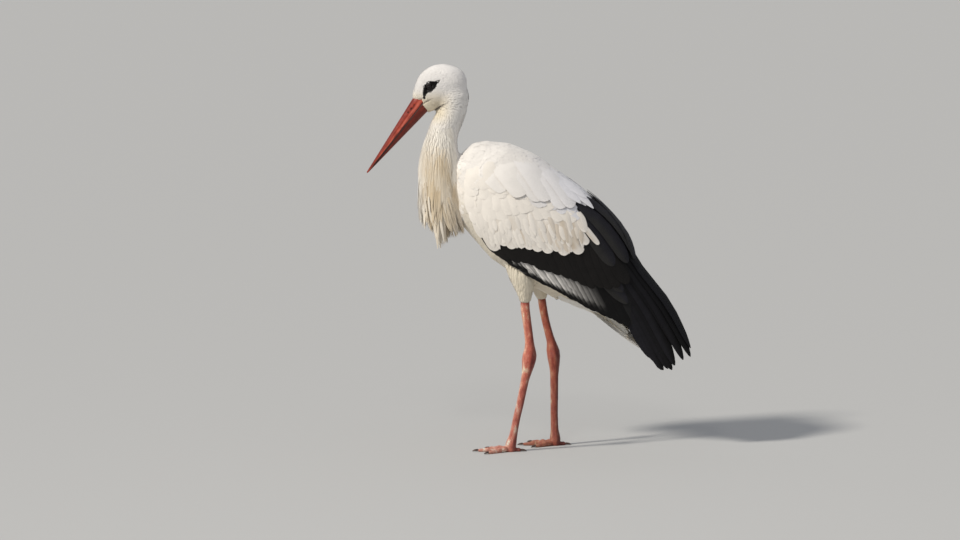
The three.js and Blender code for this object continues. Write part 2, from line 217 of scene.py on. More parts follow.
HEAD_SPINE = [(-236, 721), (-208, 741), (-177, 766), (-149, 787)]
NECK_SPINE = [(-152, 775), (-157, 722), (-167, 698), (-184, 652), (-188, 601), (-182, 527), (-171, 480)]
TRUNK_SPINE = [(-160, 568), (-124, 554), (-71, 524), (-15, 480), (44, 428), (103, 371), (153, 318),
               (204, 268), (250, 228)]
LEG_SPINES = {
    "left": [(-23, 430), (-11, 352), (-8, 300), (0, 236), (-4, 172), (-27, 66), (-40, 6), (-125, 4)],
    "right": [(14, 425), (23, 345), (29, 300), (43, 232), (54, 168), (54, 60), (55, 6), (-30, 4)],
}
LEG_Y = 0.043


def polyline(pairs, y=0.0, count=80):
    """Evenly spaced points along a smooth line through the given ones."""
    knots = np.array([(x * MM, y, z * MM) for x, z in pairs])
    along = np.concatenate([[0], np.cumsum(np.linalg.norm(np.diff(knots, axis=0), axis=1))])
    t = np.linspace(0, along[-1], count)
    line = np.stack([np.interp(t, along, knots[:, i]) for i in range(3)], 1)
    for _ in range(12):
        line[1:-1] = (line[:-2] + 2 * line[1:-1] + line[2:]) / 4
    return line


# Each spine's name, line, the usual distance of its flesh, and its strip of the unwrap.
SPINES = [
    ("trunk", polyline(TRUNK_SPINE), 0.115, (0.01, 0.56)),
    ("neck", polyline(NECK_SPINE), 0.042, (0.58, 0.74)),
    ("head", polyline(HEAD_SPINE), 0.045, (0.76, 0.86)),
    ("left", polyline(LEG_SPINES["left"], -LEG_Y), 0.02, (0.88, 0.93)),
    ("right", polyline(LEG_SPINES["right"], LEG_Y), 0.02, (0.95, 0.99)),
]


def nearest_on(line, points, chunk=20000):
    """For each point: the index of the line's nearest point, and the distance."""
    index = np.zeros(len(points), int)
    distance = np.zeros(len(points))
    for start in range(0, len(points), chunk):
        part = points[start:start + chunk]
        d = np.linalg.norm(part[:, None, :] - line[None], axis=2)
        index[start:start + chunk] = d.argmin(1)
        distance[start:start + chunk] = d.min(1)
    return index, distance


def around(line, index, points):
    """The angle of each point round the line, 0 at the bird's back and positive to its right."""
    tangent = unit(np.gradient(line, axis=0))[index]
    back = unit(np.cross(tangent, ACROSS))
    offset = points - line[index]
    return np.arctan2(offset @ ACROSS, np.sum(offset * back, axis=1))


def unwrap(points):
    """A place in the unit square for each point of the skin: along and round its nearest spine."""
    best = np.full(len(points), np.inf)
    uv = np.zeros((len(points), 2))
    for _, line, reach, (low, high) in SPINES:
        index, distance = nearest_on(line, points)
        angle = around(line, index, points)
        nearer = distance / reach < best
        best = np.where(nearer, distance / reach, best)
        u = low + (high - low) * (angle + math.pi) / (2 * math.pi)
        v = 0.01 + 0.98 * index / (len(line) - 1)
        uv[nearer] = np.stack([u, v], 1)[nearer]
    return uv


# ---------- The skin ----------


def body_envelope(frame):
    """The trunk and its folded wings as one closed body: the outermost points round its spine."""
    names = ["trunk"] + [f"{part}_{side}" for part in WING_PARTS for side in SIDES]
    points, triangles = joined([arrays_of(frame["nodes"][n]) for n in names])
    tree = BVHTree.FromPolygons(points.tolist(), triangles.tolist())
    rings, sides, reach = 76, 72, 0.3
    line = polyline(TRUNK_SPINE, count=rings + 14)[6:-8]
    tangent = unit(np.gradient(line, axis=0))
    radius = np.full((rings, sides), np.nan)
    angles = np.arange(sides) * 2 * math.pi / sides
    ways = np.zeros((rings, sides, 3))
    for i in range(rings):
        back = np.cross(tangent[i], ACROSS)
        for j, angle in enumerate(angles):
            way = back * math.cos(angle) + ACROSS * math.sin(angle)
            ways[i, j] = way
            hit = tree.ray_cast(Vector(line[i] + way * reach), Vector(-way), reach)
            if hit[0] is not None:
                radius[i, j] = reach - hit[3]
    radius = filled(radius)
    for _ in range(3):
        radius = (np.roll(radius, 1, 1) + 2 * radius + np.roll(radius, -1, 1)) / 4
        radius[1:-1] = (radius[:-2] + 2 * radius[1:-1] + radius[2:]) / 4
    grid = line[:, None, :] + ways * radius[..., None]
    return closed_grid(grid)


def filled(radius):
    """Gaps in a grid of radii take the value of the ring before them."""
    for i in range(len(radius)):
        row = radius[i]
        gaps = np.isnan(row)
        if i and gaps.any():
            row[gaps] = radius[i - 1][gaps] * 0.97
    return np.nan_to_num(radius, nan=0.02)


def closed_grid(grid):
    """A tube of rings, closed at both ends by a point."""
    rings, sides, _ = grid.shape
    points = grid.reshape(-1, 3)
    ends = np.array([grid[0].mean(0), grid[-1].mean(0)])
    faces = []
    for i in range(rings - 1):
        for j in range(sides):
            a, b = i * sides + j, i * sides + (j + 1) % sides
            faces += [(a, b, b + sides), (a, b + sides, a + sides)]
    first, last = rings * sides, rings * sides + 1
    for j in range(sides):
        faces.append((first, (j + 1) % sides, j))
        base = (rings - 1) * sides
        faces.append((last, base + j, base + (j + 1) % sides))
    return np.concatenate([points, ends]), np.array(faces)


def coat_depth(points):
    """How far the skin lies inside the coat's outline."""
    x, z = points[:, 0], points[:, 2]
    depth = np.full(len(points), 0.0040)
    neck = step(-0.13, -0.145, x) * step(0.56, 0.60, z)
    depth += (0.0026 - depth) * neck
    bill_base = np.linalg.norm(points - BILL_CORNER, axis=1)
    head = step(0.70, 0.76, z)
    face = 0.0014 * step(0.012, 0.05, bill_base) + 0.0004
    depth += (face - depth) * np.maximum(head, step(0.04, 0.02, bill_base))
    low = step(0.37, 0.312, z) * (x < 0.06)
    return depth * (1 - low) + 0.0006 * low


def clipped(arrays, lowest):
    """Hanging points lifted to one level, so that only the rounded body is left."""
    points, triangles = arrays
    points = points.copy()
    points[:, 2] = np.maximum(points[:, 2], lowest)
    return points, triangles


BILL_CORNER = np.array([-0.232, 0, 0.722])
BILL_BASE_CENTRE = np.array([-0.228, 0.0, 0.727])
BILL_LENGTH = 0.182
BILL_PITCH = math.radians(52)
BILL_WAY = np.array([-math.cos(BILL_PITCH), 0.0, -math.sin(BILL_PITCH)])
BILL_UP = np.array([-math.sin(BILL_PITCH), 0.0, math.cos(BILL_PITCH)])
# Where the feathers stop at the bill: height across the bill, and distance along it, in mm.
FEATHER_EDGE = [(-22, 1.0), (-19, -0.6), (-6.7, -3.7), (-1, -9), (5.6, -12.7), (9, -9), (20.5, -1), (24, 1)]


def past_feather_edge(points):
    """How far each point lies past the feathers' edge, towards the bill's tip."""
    along_bill = (points - BILL_BASE_CENTRE) @ BILL_WAY
    height = (points - BILL_BASE_CENTRE) @ BILL_UP
    edge = np.array(FEATHER_EDGE) * MM
    return along_bill - np.interp(height, edge[:, 0], edge[:, 1])


def bared_at_bill(points):
    """The skin drawn in under the bill's horn, past the edge of the feathers."""
    near = np.linalg.norm(points - BILL_BASE_CENTRE, axis=1) < 0.04
    under = (near * step(-0.0005, 0.0012, past_feather_edge(points)))[:, None]
    along_bill = (points - BILL_BASE_CENTRE) @ BILL_WAY
    axis = BILL_BASE_CENTRE + BILL_WAY * along_bill[:, None]
    return points + (axis - points) * under * 0.3


CREASE_DEPTH = 0.0016
RUFF_CUT = 0.505  # the skin of the breast ends at this height, and lances hang below it
# Where the head's solid meets the neck's, x and z in mm: the skin passes smoothly over it.
HEAD_JOINT = [(-178, 729), (-176, 745), (-165, 757), (-150, 761), (-128, 765)]
JOINT_REACH = 0.015
JOINT_SMOOTHING = 45
TAIL_NARROWING = 0.62  # the tail's core is this share of the fan's width


def smooth_near(skin, joint, reach, times):
    """The skin smoothed further within reach of a line of the side view."""
    points, _ = arrays_of(skin)
    spots = along(np.array(joint) * MM, 40)
    gaps = np.sqrt(((points[:, None, [0, 2]] - spots[None]) ** 2).sum(2)).min(1)
    group = skin.vertex_groups.new(name="joint")
    for i in np.flatnonzero(gaps < reach):
        group.add([int(i)], float(step(reach, reach * 0.4, gaps[i])), "REPLACE")
    smooth = skin.modifiers.new("joint", "SMOOTH")
    smooth.factor = 0.5
    smooth.iterations = times
    smooth.vertex_group = "joint"
    apply_modifiers(skin)


SKIN_VOXEL = 0.003
LEG_VOXEL = 0.0014
CLAW_VOXEL = 0.0005


def make_skin(frame):
    """One surface round all the solids of flesh, drawn in by the coat's depth."""
    nodes = frame["nodes"]
    whole = ("trunk", "head", "neck_upper", "neck_lower", "thigh_left", "thigh_right")
    body = [body_envelope(frame)] + [arrays_of(nodes[n]) for n in whole]
    body.append(clipped(arrays_of(nodes["breast_plumes"]), RUFF_CUT))
    tail_points, tail_triangles = arrays_of(nodes["tail"])
    body.append((tail_points * np.array([1, TAIL_NARROWING, 1]), tail_triangles))
    skin = remeshed("skin", *joined(body), voxel=SKIN_VOXEL, smoothing=9)
    smooth_near(skin, HEAD_JOINT, JOINT_REACH, JOINT_SMOOTHING)
    points, _ = arrays_of(skin)
    inner = points - point_normals(skin.data) * coat_depth(points)[:, None]
    head = inner[:, 2] > 0.69
    inner[head] -= point_normals(skin.data)[head] * creases(inner[head])[:, None] * CREASE_DEPTH
    inner = bared_at_bill(inner)
    move_points(skin, inner)
    return skin


# ---------- The lie of the coat ----------

BILL_BASE = np.array([-0.236, 0.0, 0.716])


def lie(points):
    """The way that feathers point at each place of the skin."""
    way = np.zeros_like(points)
    for name, line, reach, _ in SPINES[:2]:
        index, distance = nearest_on(line, points)
        tangent = unit(np.gradient(line, axis=0))[index]
        weight = np.exp(-((distance / reach) ** 2) * 2)
        if name == "trunk":
            weight = weight * step(-0.175, -0.13, points[:, 0])
        way += tangent * weight[:, None]
    head = step(0.695, 0.74, points[:, 2])
    away = unit(points - BILL_BASE)
    return unit(mixed(unit(way), away, head))


class Surface:
    """A closed surface as something that feathers can be laid on."""

    def __init__(self, points, triangles):
        self.points, self.triangles = points, triangles
        self.tree = BVHTree.FromPolygons(points.tolist(), triangles.tolist())
        a, b, c = (points[triangles[:, i]] for i in range(3))
        faces = np.cross(b - a, c - a)
        self.areas = np.linalg.norm(faces, axis=1) / 2
        self.centres = (a + b + c) / 3
        corner = np.zeros_like(points)
        for i in range(3):
            np.add.at(corner, triangles[:, i], faces)
        self.corner_normals = unit(corner)
        self.normals = unit(self.corner_normals[triangles].mean(1))

    def settle(self, points):
        """The nearest skin point and its normal for each point."""
        places = np.zeros_like(points)
        index = np.zeros(len(points), int)
        for i, point in enumerate(points):
            place, _, index[i], _ = self.tree.find_nearest(Vector(point))
            places[i] = place
        corners = self.triangles[index]
        a, b, c = (self.points[corners[:, i]] for i in range(3))
        whole = np.linalg.norm(np.cross(b - a, c - a), axis=1)
        shares = [np.linalg.norm(np.cross(q - places, r - places), axis=1) / whole
                  for q, r in ((b, c), (c, a), (a, b))]
        normals = sum(self.corner_normals[corners[:, i]] * shares[i][:, None] for i in range(3))
        return places, unit(normals)

    def scatter(self, inside, spacing, crowd=9):
        """Evenly mixed random places on the triangles where inside is true, spacing(place) apart."""
        chosen = np.flatnonzero(inside)
        gap = spacing(self.centres[chosen])
        share = self.areas[chosen] / gap**2
        count = int(share.sum() * crowd)
        drawn = np.searchsorted(np.cumsum(share) / share.sum(), rng.random(count))
        pick = chosen[drawn.clip(0, len(chosen) - 1)]
        r = rng.random((count, 2))
        r = np.where(r.sum(1, keepdims=True) > 1, 1 - r, r)
        a, b, c = (self.points[self.triangles[pick, i]] for i in range(3))
        places = a + (b - a) * r[:, :1] + (c - a) * r[:, 1:]
        gaps = spacing(places)
        cell = gaps.max()
        grid, kept = {}, []
        for i, (place, gap_here) in enumerate(zip(places, gaps)):
            key = tuple((place // cell).astype(int))
            near = [k for dx in (-1, 0, 1) for dy in (-1, 0, 1) for dz in (-1, 0, 1)
                    for k in grid.get((key[0] + dx, key[1] + dy, key[2] + dz), ())]
            if near and (((places[near] - place) ** 2).sum(1) < (gap_here * 0.8) ** 2).any():
                continue
            grid.setdefault(key, []).append(i)
            kept.append(i)
        return places[kept], self.normals[pick[kept]]


# ---------- Feathers ----------

ROUND_TIP = ([0, 0.25, 0.5, 0.7, 0.85, 0.95, 1], [0.35, 0.75, 0.97, 1, 0.86, 0.55, 0.16])
SHORT_TIP = ([0, 0.35, 0.72, 1], [0.55, 1, 0.85, 0.18])
LANCE_TIP = ([0, 0.15, 0.35, 0.55, 0.75, 0.9, 1], [0.5, 0.85, 1, 0.85, 0.55, 0.28, 0.06])
BROAD_TIP = (
    [0, 0.12, 0.25, 0.4, 0.55, 0.7, 0.8, 0.88, 0.94, 0.98, 1],
    [0.3, 0.55, 0.8, 0.95, 1, 1, 0.97, 0.88, 0.68, 0.42, 0.16],
)
FINGER_TIP = (
    [0, 0.12, 0.25, 0.4, 0.55, 0.68, 0.78, 0.86, 0.93, 0.975, 1],
    [0.5, 0.75, 0.95, 1, 0.98, 0.90, 0.80, 0.68, 0.52, 0.32, 0.12],
)
WEB_TIP = (
    [0, 0.15, 0.3, 0.45, 0.6, 0.75, 0.86, 0.94, 1],
    [0.2, 0.5, 0.8, 0.95, 1, 0.9, 0.7, 0.42, 0.12],
)
BLUNT_TIP = (
    [0, 0.12, 0.25, 0.4, 0.55, 0.7, 0.82, 0.9, 0.95, 0.985, 1],
    [0.5, 0.75, 0.95, 1, 1, 0.98, 0.94, 0.85, 0.70, 0.44, 0.18],
)
BLADE_TIP = (
    [0, 0.12, 0.25, 0.4, 0.55, 0.7, 0.8, 0.88, 0.94, 0.98, 1],
    [0.8, 0.95, 1, 1, 0.97, 0.9, 0.8, 0.66, 0.46, 0.26, 0.08],
)
POINTED_TIP = (
    [0, 0.12, 0.25, 0.4, 0.55, 0.7, 0.8, 0.88, 0.94, 0.98, 1],
    [0.4, 0.7, 0.9, 1, 0.97, 0.86, 0.7, 0.5, 0.32, 0.16, 0.05],
)
FINE, PLAIN, RICH = (2, 1), (3, 1), (5, 3)  # columns across a vane's top and underside
PATCH_HALF = 0.0015  # half of a vane's patch on the unwrap


def march(surface, roots, ways, lengths, rows, heights):
    """Middle lines that run from the roots along the skin, and their normals.

    rows are shares of the length, and heights(share) is how far above the skin a line runs.
    """
    lines, normals = [], []
    place, normal = surface.settle(roots)
    way = ways
    before = 0.0
    for share in rows:
        if share > before:
            ahead = place + way * (lengths * (share - before))[:, None]
            place, normal = surface.settle(ahead)
            before = share
        way = unit(way - normal * np.sum(way * normal, axis=1, keepdims=True))
        height = heights(share)
        lines.append(place + normal * np.asarray(height).reshape(-1, 1))
        normals.append(normal)
    return np.stack(lines, 1), np.stack(normals, 1)


def vanes(name, lines, normals, half_widths, colours, columns=PLAIN, camber=0.25, thickness=0.00025,
          tilt=0.0, mirror=False, softness=0.12):
    """Thin closed vanes as one mesh.

    lines, normals: (vanes, rows, 3). half_widths: (vanes, rows). colours: (vanes, rows, 1 or the
    top's columns, 3). tilt turns each vane about its shaft, and mirror moves them to the right side.
    The shading follows the normals, and softness is how much it also follows the vane's own curve.
    """
    count, rows, _ = lines.shape
    top, under = columns
    across = np.linspace(-1, 1, top)
    tangents = unit(np.gradient(lines, axis=1))
    sides = unit(np.cross(normals, tangents))
    ups = unit(np.cross(tangents, sides))
    lean = np.broadcast_to(np.asarray(tilt, float).reshape(-1, 1, 1), (count, 1, 1))
    sides, ups = sides * np.cos(lean) - ups * np.sin(lean), ups * np.cos(lean) + sides * np.sin(lean)
    below = np.linspace(1, -1, under + 2)[1:-1]
    ring_across = np.concatenate([across, below])
    drop = np.concatenate([np.zeros(top), np.full(under, 1.0)])
    ring = len(ring_across)
    w = half_widths[:, :, None, None]
    points = lines[:, :, None, :] + sides[:, :, None, :] * (w * ring_across[None, None, :, None])
    sag = camber * w * (ring_across[None, None, :, None] ** 2) + thickness * drop[None, None, :, None]
    points = points - ups[:, :, None, :] * sag
    facing = unit(ups[:, :, None, :] + sides[:, :, None, :] * (softness * ring_across[None, None, :, None]))
    index = np.arange(count * rows * ring).reshape(count, rows, ring)
    a, b = index[:, :-1, :], index[:, 1:, :]
    quads = np.stack([a, b, np.roll(b, -1, 2), np.roll(a, -1, 2)], -1)
    upper = np.where(np.arange(ring) < top - 1, 1.0, -1.0)
    upper = np.broadcast_to(upper[None, None, :, None], quads.shape).reshape(-1)
    quads = quads.reshape(-1, 4)
    caps = np.concatenate([index[:, 0, :], index[:, -1, ::-1]])
    base = lines[:, 0, :].copy()
    if mirror:
        points[..., 1] *= -1
        base[:, 1] *= -1
        facing[..., 1] *= -1
        quads, caps = quads[:, ::-1], caps[:, ::-1]
    corners = np.concatenate([quads.ravel(), caps.ravel()])
    corner_normals = facing.reshape(-1, 3)[corners] * np.concatenate([upper, np.ones(caps.size)])[:, None]
    roots = unwrap(base)
    up_and_down = np.linspace(-1, 1, rows)[None, :, None]
    local = np.stack(np.broadcast_arrays(ring_across[None, None, :], up_and_down), -1)
    patch = roots[:, None, None, :] + np.broadcast_to(local, (count, rows, ring, 2)) * PATCH_HALF
    lengths = np.linalg.norm(np.diff(lines, axis=1), axis=2).sum(1)
    vane_v = np.linspace(0, 1, rows)[None, :, None] * lengths[:, None, None]
    vane_u = ring_across[None, None, :] * half_widths[:, :, None]
    vane = np.stack(np.broadcast_arrays(vane_u, vane_v), -1)
    colours = np.broadcast_to(colours, (count, rows, top, 3))
    underside = np.broadcast_to(colours[:, :, top // 2:top // 2 + 1], (count, rows, under, 3))
    shades = np.concatenate([colours, underside], 2)
    return build_vanes(name, points, quads, caps, patch, vane, shades, corner_normals)


def build_vanes(name, points, quads, caps, patch, vane, shades, corner_normals):
    """The mesh of many vanes at once, from arrays: its faces, two maps, colours and normals."""
    mesh = bpy.data.meshes.new(name)
    corners = np.concatenate([quads.ravel(), caps.ravel()])
    sizes = np.concatenate([np.full(len(quads), 4), np.full(len(caps), caps.shape[1])])
    mesh.vertices.add(points.size // 3)
    mesh.vertices.foreach_set("co", points.reshape(-1))
    mesh.loops.add(len(corners))
    mesh.loops.foreach_set("vertex_index", corners)
    mesh.polygons.add(len(sizes))
    mesh.polygons.foreach_set("loop_start", np.concatenate([[0], np.cumsum(sizes)[:-1]]))
    mesh.update(calc_edges=True)
    for map_name, values in (("OFBake", patch), ("vane", vane)):
        layer = mesh.uv_layers.new(name=map_name)
        layer.data.foreach_set("uv", values.reshape(-1, 2)[corners].ravel())
    obj = bpy.data.objects.new(name, mesh)
    bpy.context.scene.collection.objects.link(obj)
    paint(obj, shades.reshape(-1, 3))
    mesh.shade_smooth()
    mesh.normals_split_custom_set(corner_normals)
    return obj


def jitter(count, spread):
    return 1 + spread * rng.uniform(-1, 1, count)


def turned(ways, normals, angles):
    """Directions turned about the normals."""
    c, s = np.cos(angles)[:, None], np.sin(angles)[:, None]
    return ways * c + np.cross(normals, ways) * s


def scattered_coat(name, surface, inside, spacing, length, width, tone, tip=SHORT_TIP, lift=0.0002,
                   columns=FINE, camber=0.12, ruffle=0.12, look=None, way=None,
                   rise=0.3, shade=0.05, softness=0.3, marked=False, barred=None):
    """A coat of small feathers at random places. spacing, length, width and tone read the places.

    The tips lie a lift above the coat's outline, and rise is the share of their height that they
    climb. A marked coat takes its tone at every point of a feather, and otherwise at its root.
    A feather that would reach a barred place is left out.
    """
    roots, normals = surface.scatter(inside, spacing)
    ways = (way or lie)(roots)
    ways = unit(ways - normals * np.sum(ways * normals, axis=1, keepdims=True))
    ways = turned(ways, normals, rng.normal(0, ruffle, len(roots)))
    rows, profile = tip
    lengths = length(roots) * jitter(len(roots), 0.25)
    high = coat_depth(roots) * jitter(len(roots), 0.04) + lift
    lines, up = march(surface, roots, ways, lengths, rows, lambda share: high * climb(share, rise))
    steps = unit(np.diff(lines, axis=1))
    straight = np.sum(steps[:, :-1] * steps[:, 1:], axis=2).min(1) > 0.6
    if barred:
        straight &= ~barred(lines.reshape(-1, 3)).reshape(lines.shape[:2]).any(axis=1)
    lines, up, roots = lines[straight], up[straight], roots[straight]
    widths = (width(roots) * jitter(len(roots), 0.2))[:, None] * np.array(profile)[None] / 2
    if marked:
        shades = tone(lines.reshape(-1, 3)).reshape(lines.shape)
    else:
        shades = np.repeat(tone(roots)[:, None], len(rows), axis=1)
    # Each feather's own random tone, with painted shade 5 % deep at its root, where the feathers before it
    # lie over it.
    tone_and_root_shade = jitter(len(roots), shade)[:, None] * (0.95 + 0.05 * np.array(rows))[None]
    colours = (shades * tone_and_root_shade[..., None])[:, :, None, :]
    obj = vanes(name, lines, up, widths, colours, columns, camber, softness=softness)
    return dressed(obj, look)


def climb(share, rise):
    """Height along a feather: it leaves the skin quickly, and then climbs by the given share."""
    out = step(0.0, 0.22, share)
    return (1 - rise) * out + rise * share


def dressed(obj, look):
    obj.data.materials.append(look)
    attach(obj, "root")
    return obj


# ---------- Looks ----------


class Look:
    """A procedural material, and short ways to add its nodes."""

    def __init__(self, name, roughness=0.5):
        self.material = bpy.data.materials.new(name)
        self.material.use_nodes = True
        self.tree = self.material.node_tree
        self.shader = self.tree.nodes["Principled BSDF"]
        self.shader.inputs["Roughness"].default_value = roughness

    def node(self, kind, **values):
        made = self.tree.nodes.new(kind)
        for key, value in values.items():
            setattr(made, key, value)
        return made

    def link(self, source, target):
        self.tree.links.new(source, target)
        return self

    def set(self, **values):
        for key, value in values.items():
            self.shader.inputs[key.replace("_", " ")].default_value = value
        return self

    def noise(self, scale, detail=3.0, stretch=(1, 1, 1)):
        """Noise in the bird's own space, about 1/scale metres across."""
        place = self.node("ShaderNodeTexCoord")
        mapping = self.node("ShaderNodeMapping")
        mapping.inputs["Scale"].default_value = stretch
        noise = self.node("ShaderNodeTexNoise")
        noise.inputs["Scale"].default_value = scale
        noise.inputs["Detail"].default_value = detail
        self.link(place.outputs["Object"], mapping.inputs["Vector"])
        self.link(mapping.outputs["Vector"], noise.inputs["Vector"])
        return noise.outputs["Fac"]

    def ramp(self, source, stops):
        ramp = self.node("ShaderNodeValToRGB")
        elements = ramp.color_ramp.elements
        while len(elements) < len(stops):
            elements.new(0.5)
        for element, (place, colour) in zip(elements, stops):
            element.position = place
            element.color = (*colour, 1)
        self.link(source, ramp.inputs["Fac"])
        return ramp.outputs["Color"]

    def mix(self, kind, share, a, b):
        mix = self.node("ShaderNodeMix", data_type="RGBA", blend_type=kind)
        for socket, value in zip((mix.inputs[0], mix.inputs[6], mix.inputs[7]), (share, a, b)):
            if hasattr(value, "links"):
                self.link(value, socket)
            else:
                socket.default_value = value if np.isscalar(value) else (*value, 1)
        return mix.outputs[2]

    def math(self, operation, a, b=0.0):
        made = self.node("ShaderNodeMath", operation=operation)
        for socket, value in zip(made.inputs, (a, b)):
            if hasattr(value, "links"):
                self.link(value, socket)
            else:
                socket.default_value = value
        return made.outputs[0]

    def attribute(self, name):
        return self.node("ShaderNodeAttribute", attribute_name=name).outputs["Color"]

    def bump(self, height, strength, distance):
        bump = self.node("ShaderNodeBump")
        bump.inputs["Strength"].default_value = strength
        bump.inputs["Distance"].default_value = distance
        self.link(height, bump.inputs["Height"])
        self.link(bump.outputs["Normal"], self.shader.inputs["Normal"])
        return self

    def colour(self, source):
        return self.link(source, self.shader.inputs["Base Color"])


BARB_SPACING = 0.0009


def feather_look(name, roughness, mottle=0.06, barbs=0.25, **values):
    """Tone from the mesh, fine barbs slanting from the shaft, and a little mottling."""
    look = Look(name, roughness)
    dark = tuple([1 - 2 * mottle] * 3)
    shade = look.ramp(look.noise(60, 4), [(0.3, dark), (0.7, (1, 1, 1))])
    look.colour(look.mix("MULTIPLY", 1.0, look.attribute("tone"), shade))
    uv = look.node("ShaderNodeUVMap", uv_map="vane")
    parts = look.node("ShaderNodeSeparateXYZ")
    look.link(uv.outputs["UV"], parts.inputs["Vector"])
    slant = look.math("SUBTRACT", parts.outputs["Y"], look.math("ABSOLUTE", parts.outputs["X"]))
    wave = look.math("SINE", look.math("MULTIPLY", slant, 2 * math.pi / BARB_SPACING))
    look.bump(wave, barbs, 0.0002)
    return look.set(**values)


def make_looks():
    white = feather_look("white_feather", 0.85, 0.03, Sheen_Weight=0.25, Sheen_Roughness=0.6)
    black = feather_look("black_feather", 0.55, 0.12, 0.4, Sheen_Weight=0.0, Specular_IOR_Level=0.14)
    bed = Look("feather_bed", 0.95)
    bed.colour(bed.attribute("tone")).bump(bed.noise(900, 2), 0.4, 0.0006)
    face = Look("bare_face_skin", 0.55)
    face.colour(face.ramp(face.noise(900, 2), [(0.3, (0.006, 0.005, 0.005)), (0.7, (0.02, 0.017, 0.016))]))
    face.bump(face.noise(1600, 2), 0.5, 0.0003)
    return {"white": white.material, "black": black.material, "bed": bed.material, "face": face.material,
            "leg": leg_look(), "bill": bill_look(), "eye": eye_look(), "claw": claw_look()}


def leg_look():
    """Rough red scales: small plates with painted shade in the grooves between them, and dusty pale
    blotches.
    """
    look = Look("leg_scales", 0.38)
    stops = [(0.3, (0.34, 0.048, 0.032)), (0.5, (0.49, 0.098, 0.068)), (0.6, (0.55, 0.15, 0.11)),
             (0.72, (0.66, 0.36, 0.29))]
    blotch = look.ramp(look.noise(110, 7, (1, 1, 0.5)), stops)
    place = look.node("ShaderNodeTexCoord")
    mapping = look.node("ShaderNodeMapping")
    mapping.inputs["Scale"].default_value = (1, 1, 1.5)
    plates = look.node("ShaderNodeTexVoronoi", feature="DISTANCE_TO_EDGE")
    plates.inputs["Scale"].default_value = 330
    look.link(place.outputs["Object"], mapping.inputs["Vector"])
    look.link(mapping.outputs["Vector"], plates.inputs["Vector"])
    # Painted shade: the grooves between the plates darker.
    groove = look.ramp(plates.outputs["Distance"], [(0.0, (0.5, 0.36, 0.33)), (0.2, (1, 1, 1))])
    toned = look.mix("MULTIPLY", 0.9, blotch, look.attribute("tone"))
    look.colour(look.mix("MULTIPLY", 0.8, toned, groove))
    look.bump(look.math("MINIMUM", plates.outputs["Distance"], 0.22), 0.8, 0.0022)
    return look.set(Subsurface_Weight=0.05, Subsurface_Scale=0.003).material


def bill_look():
    look = Look("bill_horn", 0.42)
    streaks = look.ramp(look.noise(90, 5, (1, 1, 1)), [(0.3, (0.7, 0.62, 0.6)), (0.65, (1.12, 1.1, 1.1))])
    look.colour(look.mix("MULTIPLY", 1.0, look.attribute("tone"), streaks))
    look.bump(look.noise(260, 4), 0.25, 0.0006)
    look.set(Subsurface_Weight=0.05, Subsurface_Scale=0.003, Specular_IOR_Level=0.3)
    return look.set(Coat_Weight=0.06, Coat_Roughness=0.3).material


def claw_look():
    look = Look("claw_horn", 0.35)
    look.colour(look.ramp(look.noise(400, 3), [(0.3, (0.035, 0.02, 0.015)), (0.7, (0.11, 0.065, 0.045))]))
    return look.material


def eye_look():
    look = Look("eye", 0.13)
    look.colour(look.attribute("tone"))
    return look.set(Specular_IOR_Level=0.3).material


# ---------- Markings ----------


class Markings:
    """The colour of the plumage at any place, read from the solid that is nearest to it."""

    def __init__(self, frame):
        self.names = sorted(n for n in frame["nodes"] if not n.startswith(("eye", "bill", "claw")))
        arrays = [arrays_of(frame["nodes"][n]) for n in self.names]
        self.owner = np.concatenate([np.full(len(t), i) for i, (_, t) in enumerate(arrays)])
        points, triangles = joined(arrays)
        self.tree = BVHTree.FromPolygons(points.tolist(), triangles.tolist())

    def part(self, points):
        found = [self.owner[self.tree.find_nearest(Vector(p))[2]] for p in points]
        return np.array([self.names[i].rsplit("_left", 1)[0].rsplit("_right", 1)[0] for i in found])

    def tone(self, points):
        """The plumage's colour at each point, with painted shade in the face's creases, on the nape and
        under the face, and the black of the face.
        """
        points = np.asarray(points)
        part = self.part(points)
        x, _, z = points.T
        # The lower face's mask: its warm stain together with painted shade under the face.
        low_face = step(0.768, 0.728, z) * step(-0.145, -0.195, x) * step(0.675, 0.712, z)
        # The nape's mask: painted shade on the rear of the neck, and a trace of it on the rear of the head.
        nape = step(-0.180, -0.150, x) * step(0.64, 0.70, z) * step(0.815, 0.765, z)
        tawny = step(0.65, 0.59, z) * step(-0.236, -0.212, x) * step(-0.152, -0.172, x)
        neck = mixed(WHITE * 1.08, CREAM, step(0.70, 0.62, z) * step(-0.152, -0.172, x))
        neck = mixed(mixed(neck, CHEEK_STAIN_AND_SHADE, low_face * 0.85), NAPE_SHADE, nape * 0.3)
        tones = {
            "head": mixed(mixed(HEAD_WHITE, CHEEK_STAIN_AND_SHADE, low_face * 0.85), NAPE_SHADE, nape * 0.08),
            "trunk": mixed(WHITE, BELLY, step(0.60, 0.45, z)),
            "scapulars": mixed(WHITE * 0.96, BACK_WHITE, step(-0.06, 0.07, x)),
            "wing_coverts": np.tile(COVERT_WHITE, (len(points), 1)),
        }
        neck = mixed(neck, TAWNY, tawny * 0.7)
        tones.update(dict.fromkeys(("neck_upper", "neck_lower", "breast_plumes"), neck))
        tones.update(dict.fromkeys(("thigh", "tail"), np.tile(BELLY, (len(points), 1))))
        black = np.tile(BLACK, (len(points), 1))
        tones.update(dict.fromkeys(("wing_tertials", "wing_secondaries", "wing_primaries"), black))
        shade = np.tile(WHITE, (len(points), 1))
        for name, tone in tones.items():
            shade[part == name] = tone[part == name]
        shade[under_wing(points)] = BLACK
        # Painted shade along the gape's end and under the jaw.
        near = z > 0.69
        shade[near] = mixed(shade[near], CREASE_SHADE, creases(points[near]))
        return mixed(shade, FACE_BLACK, face_mark(points))


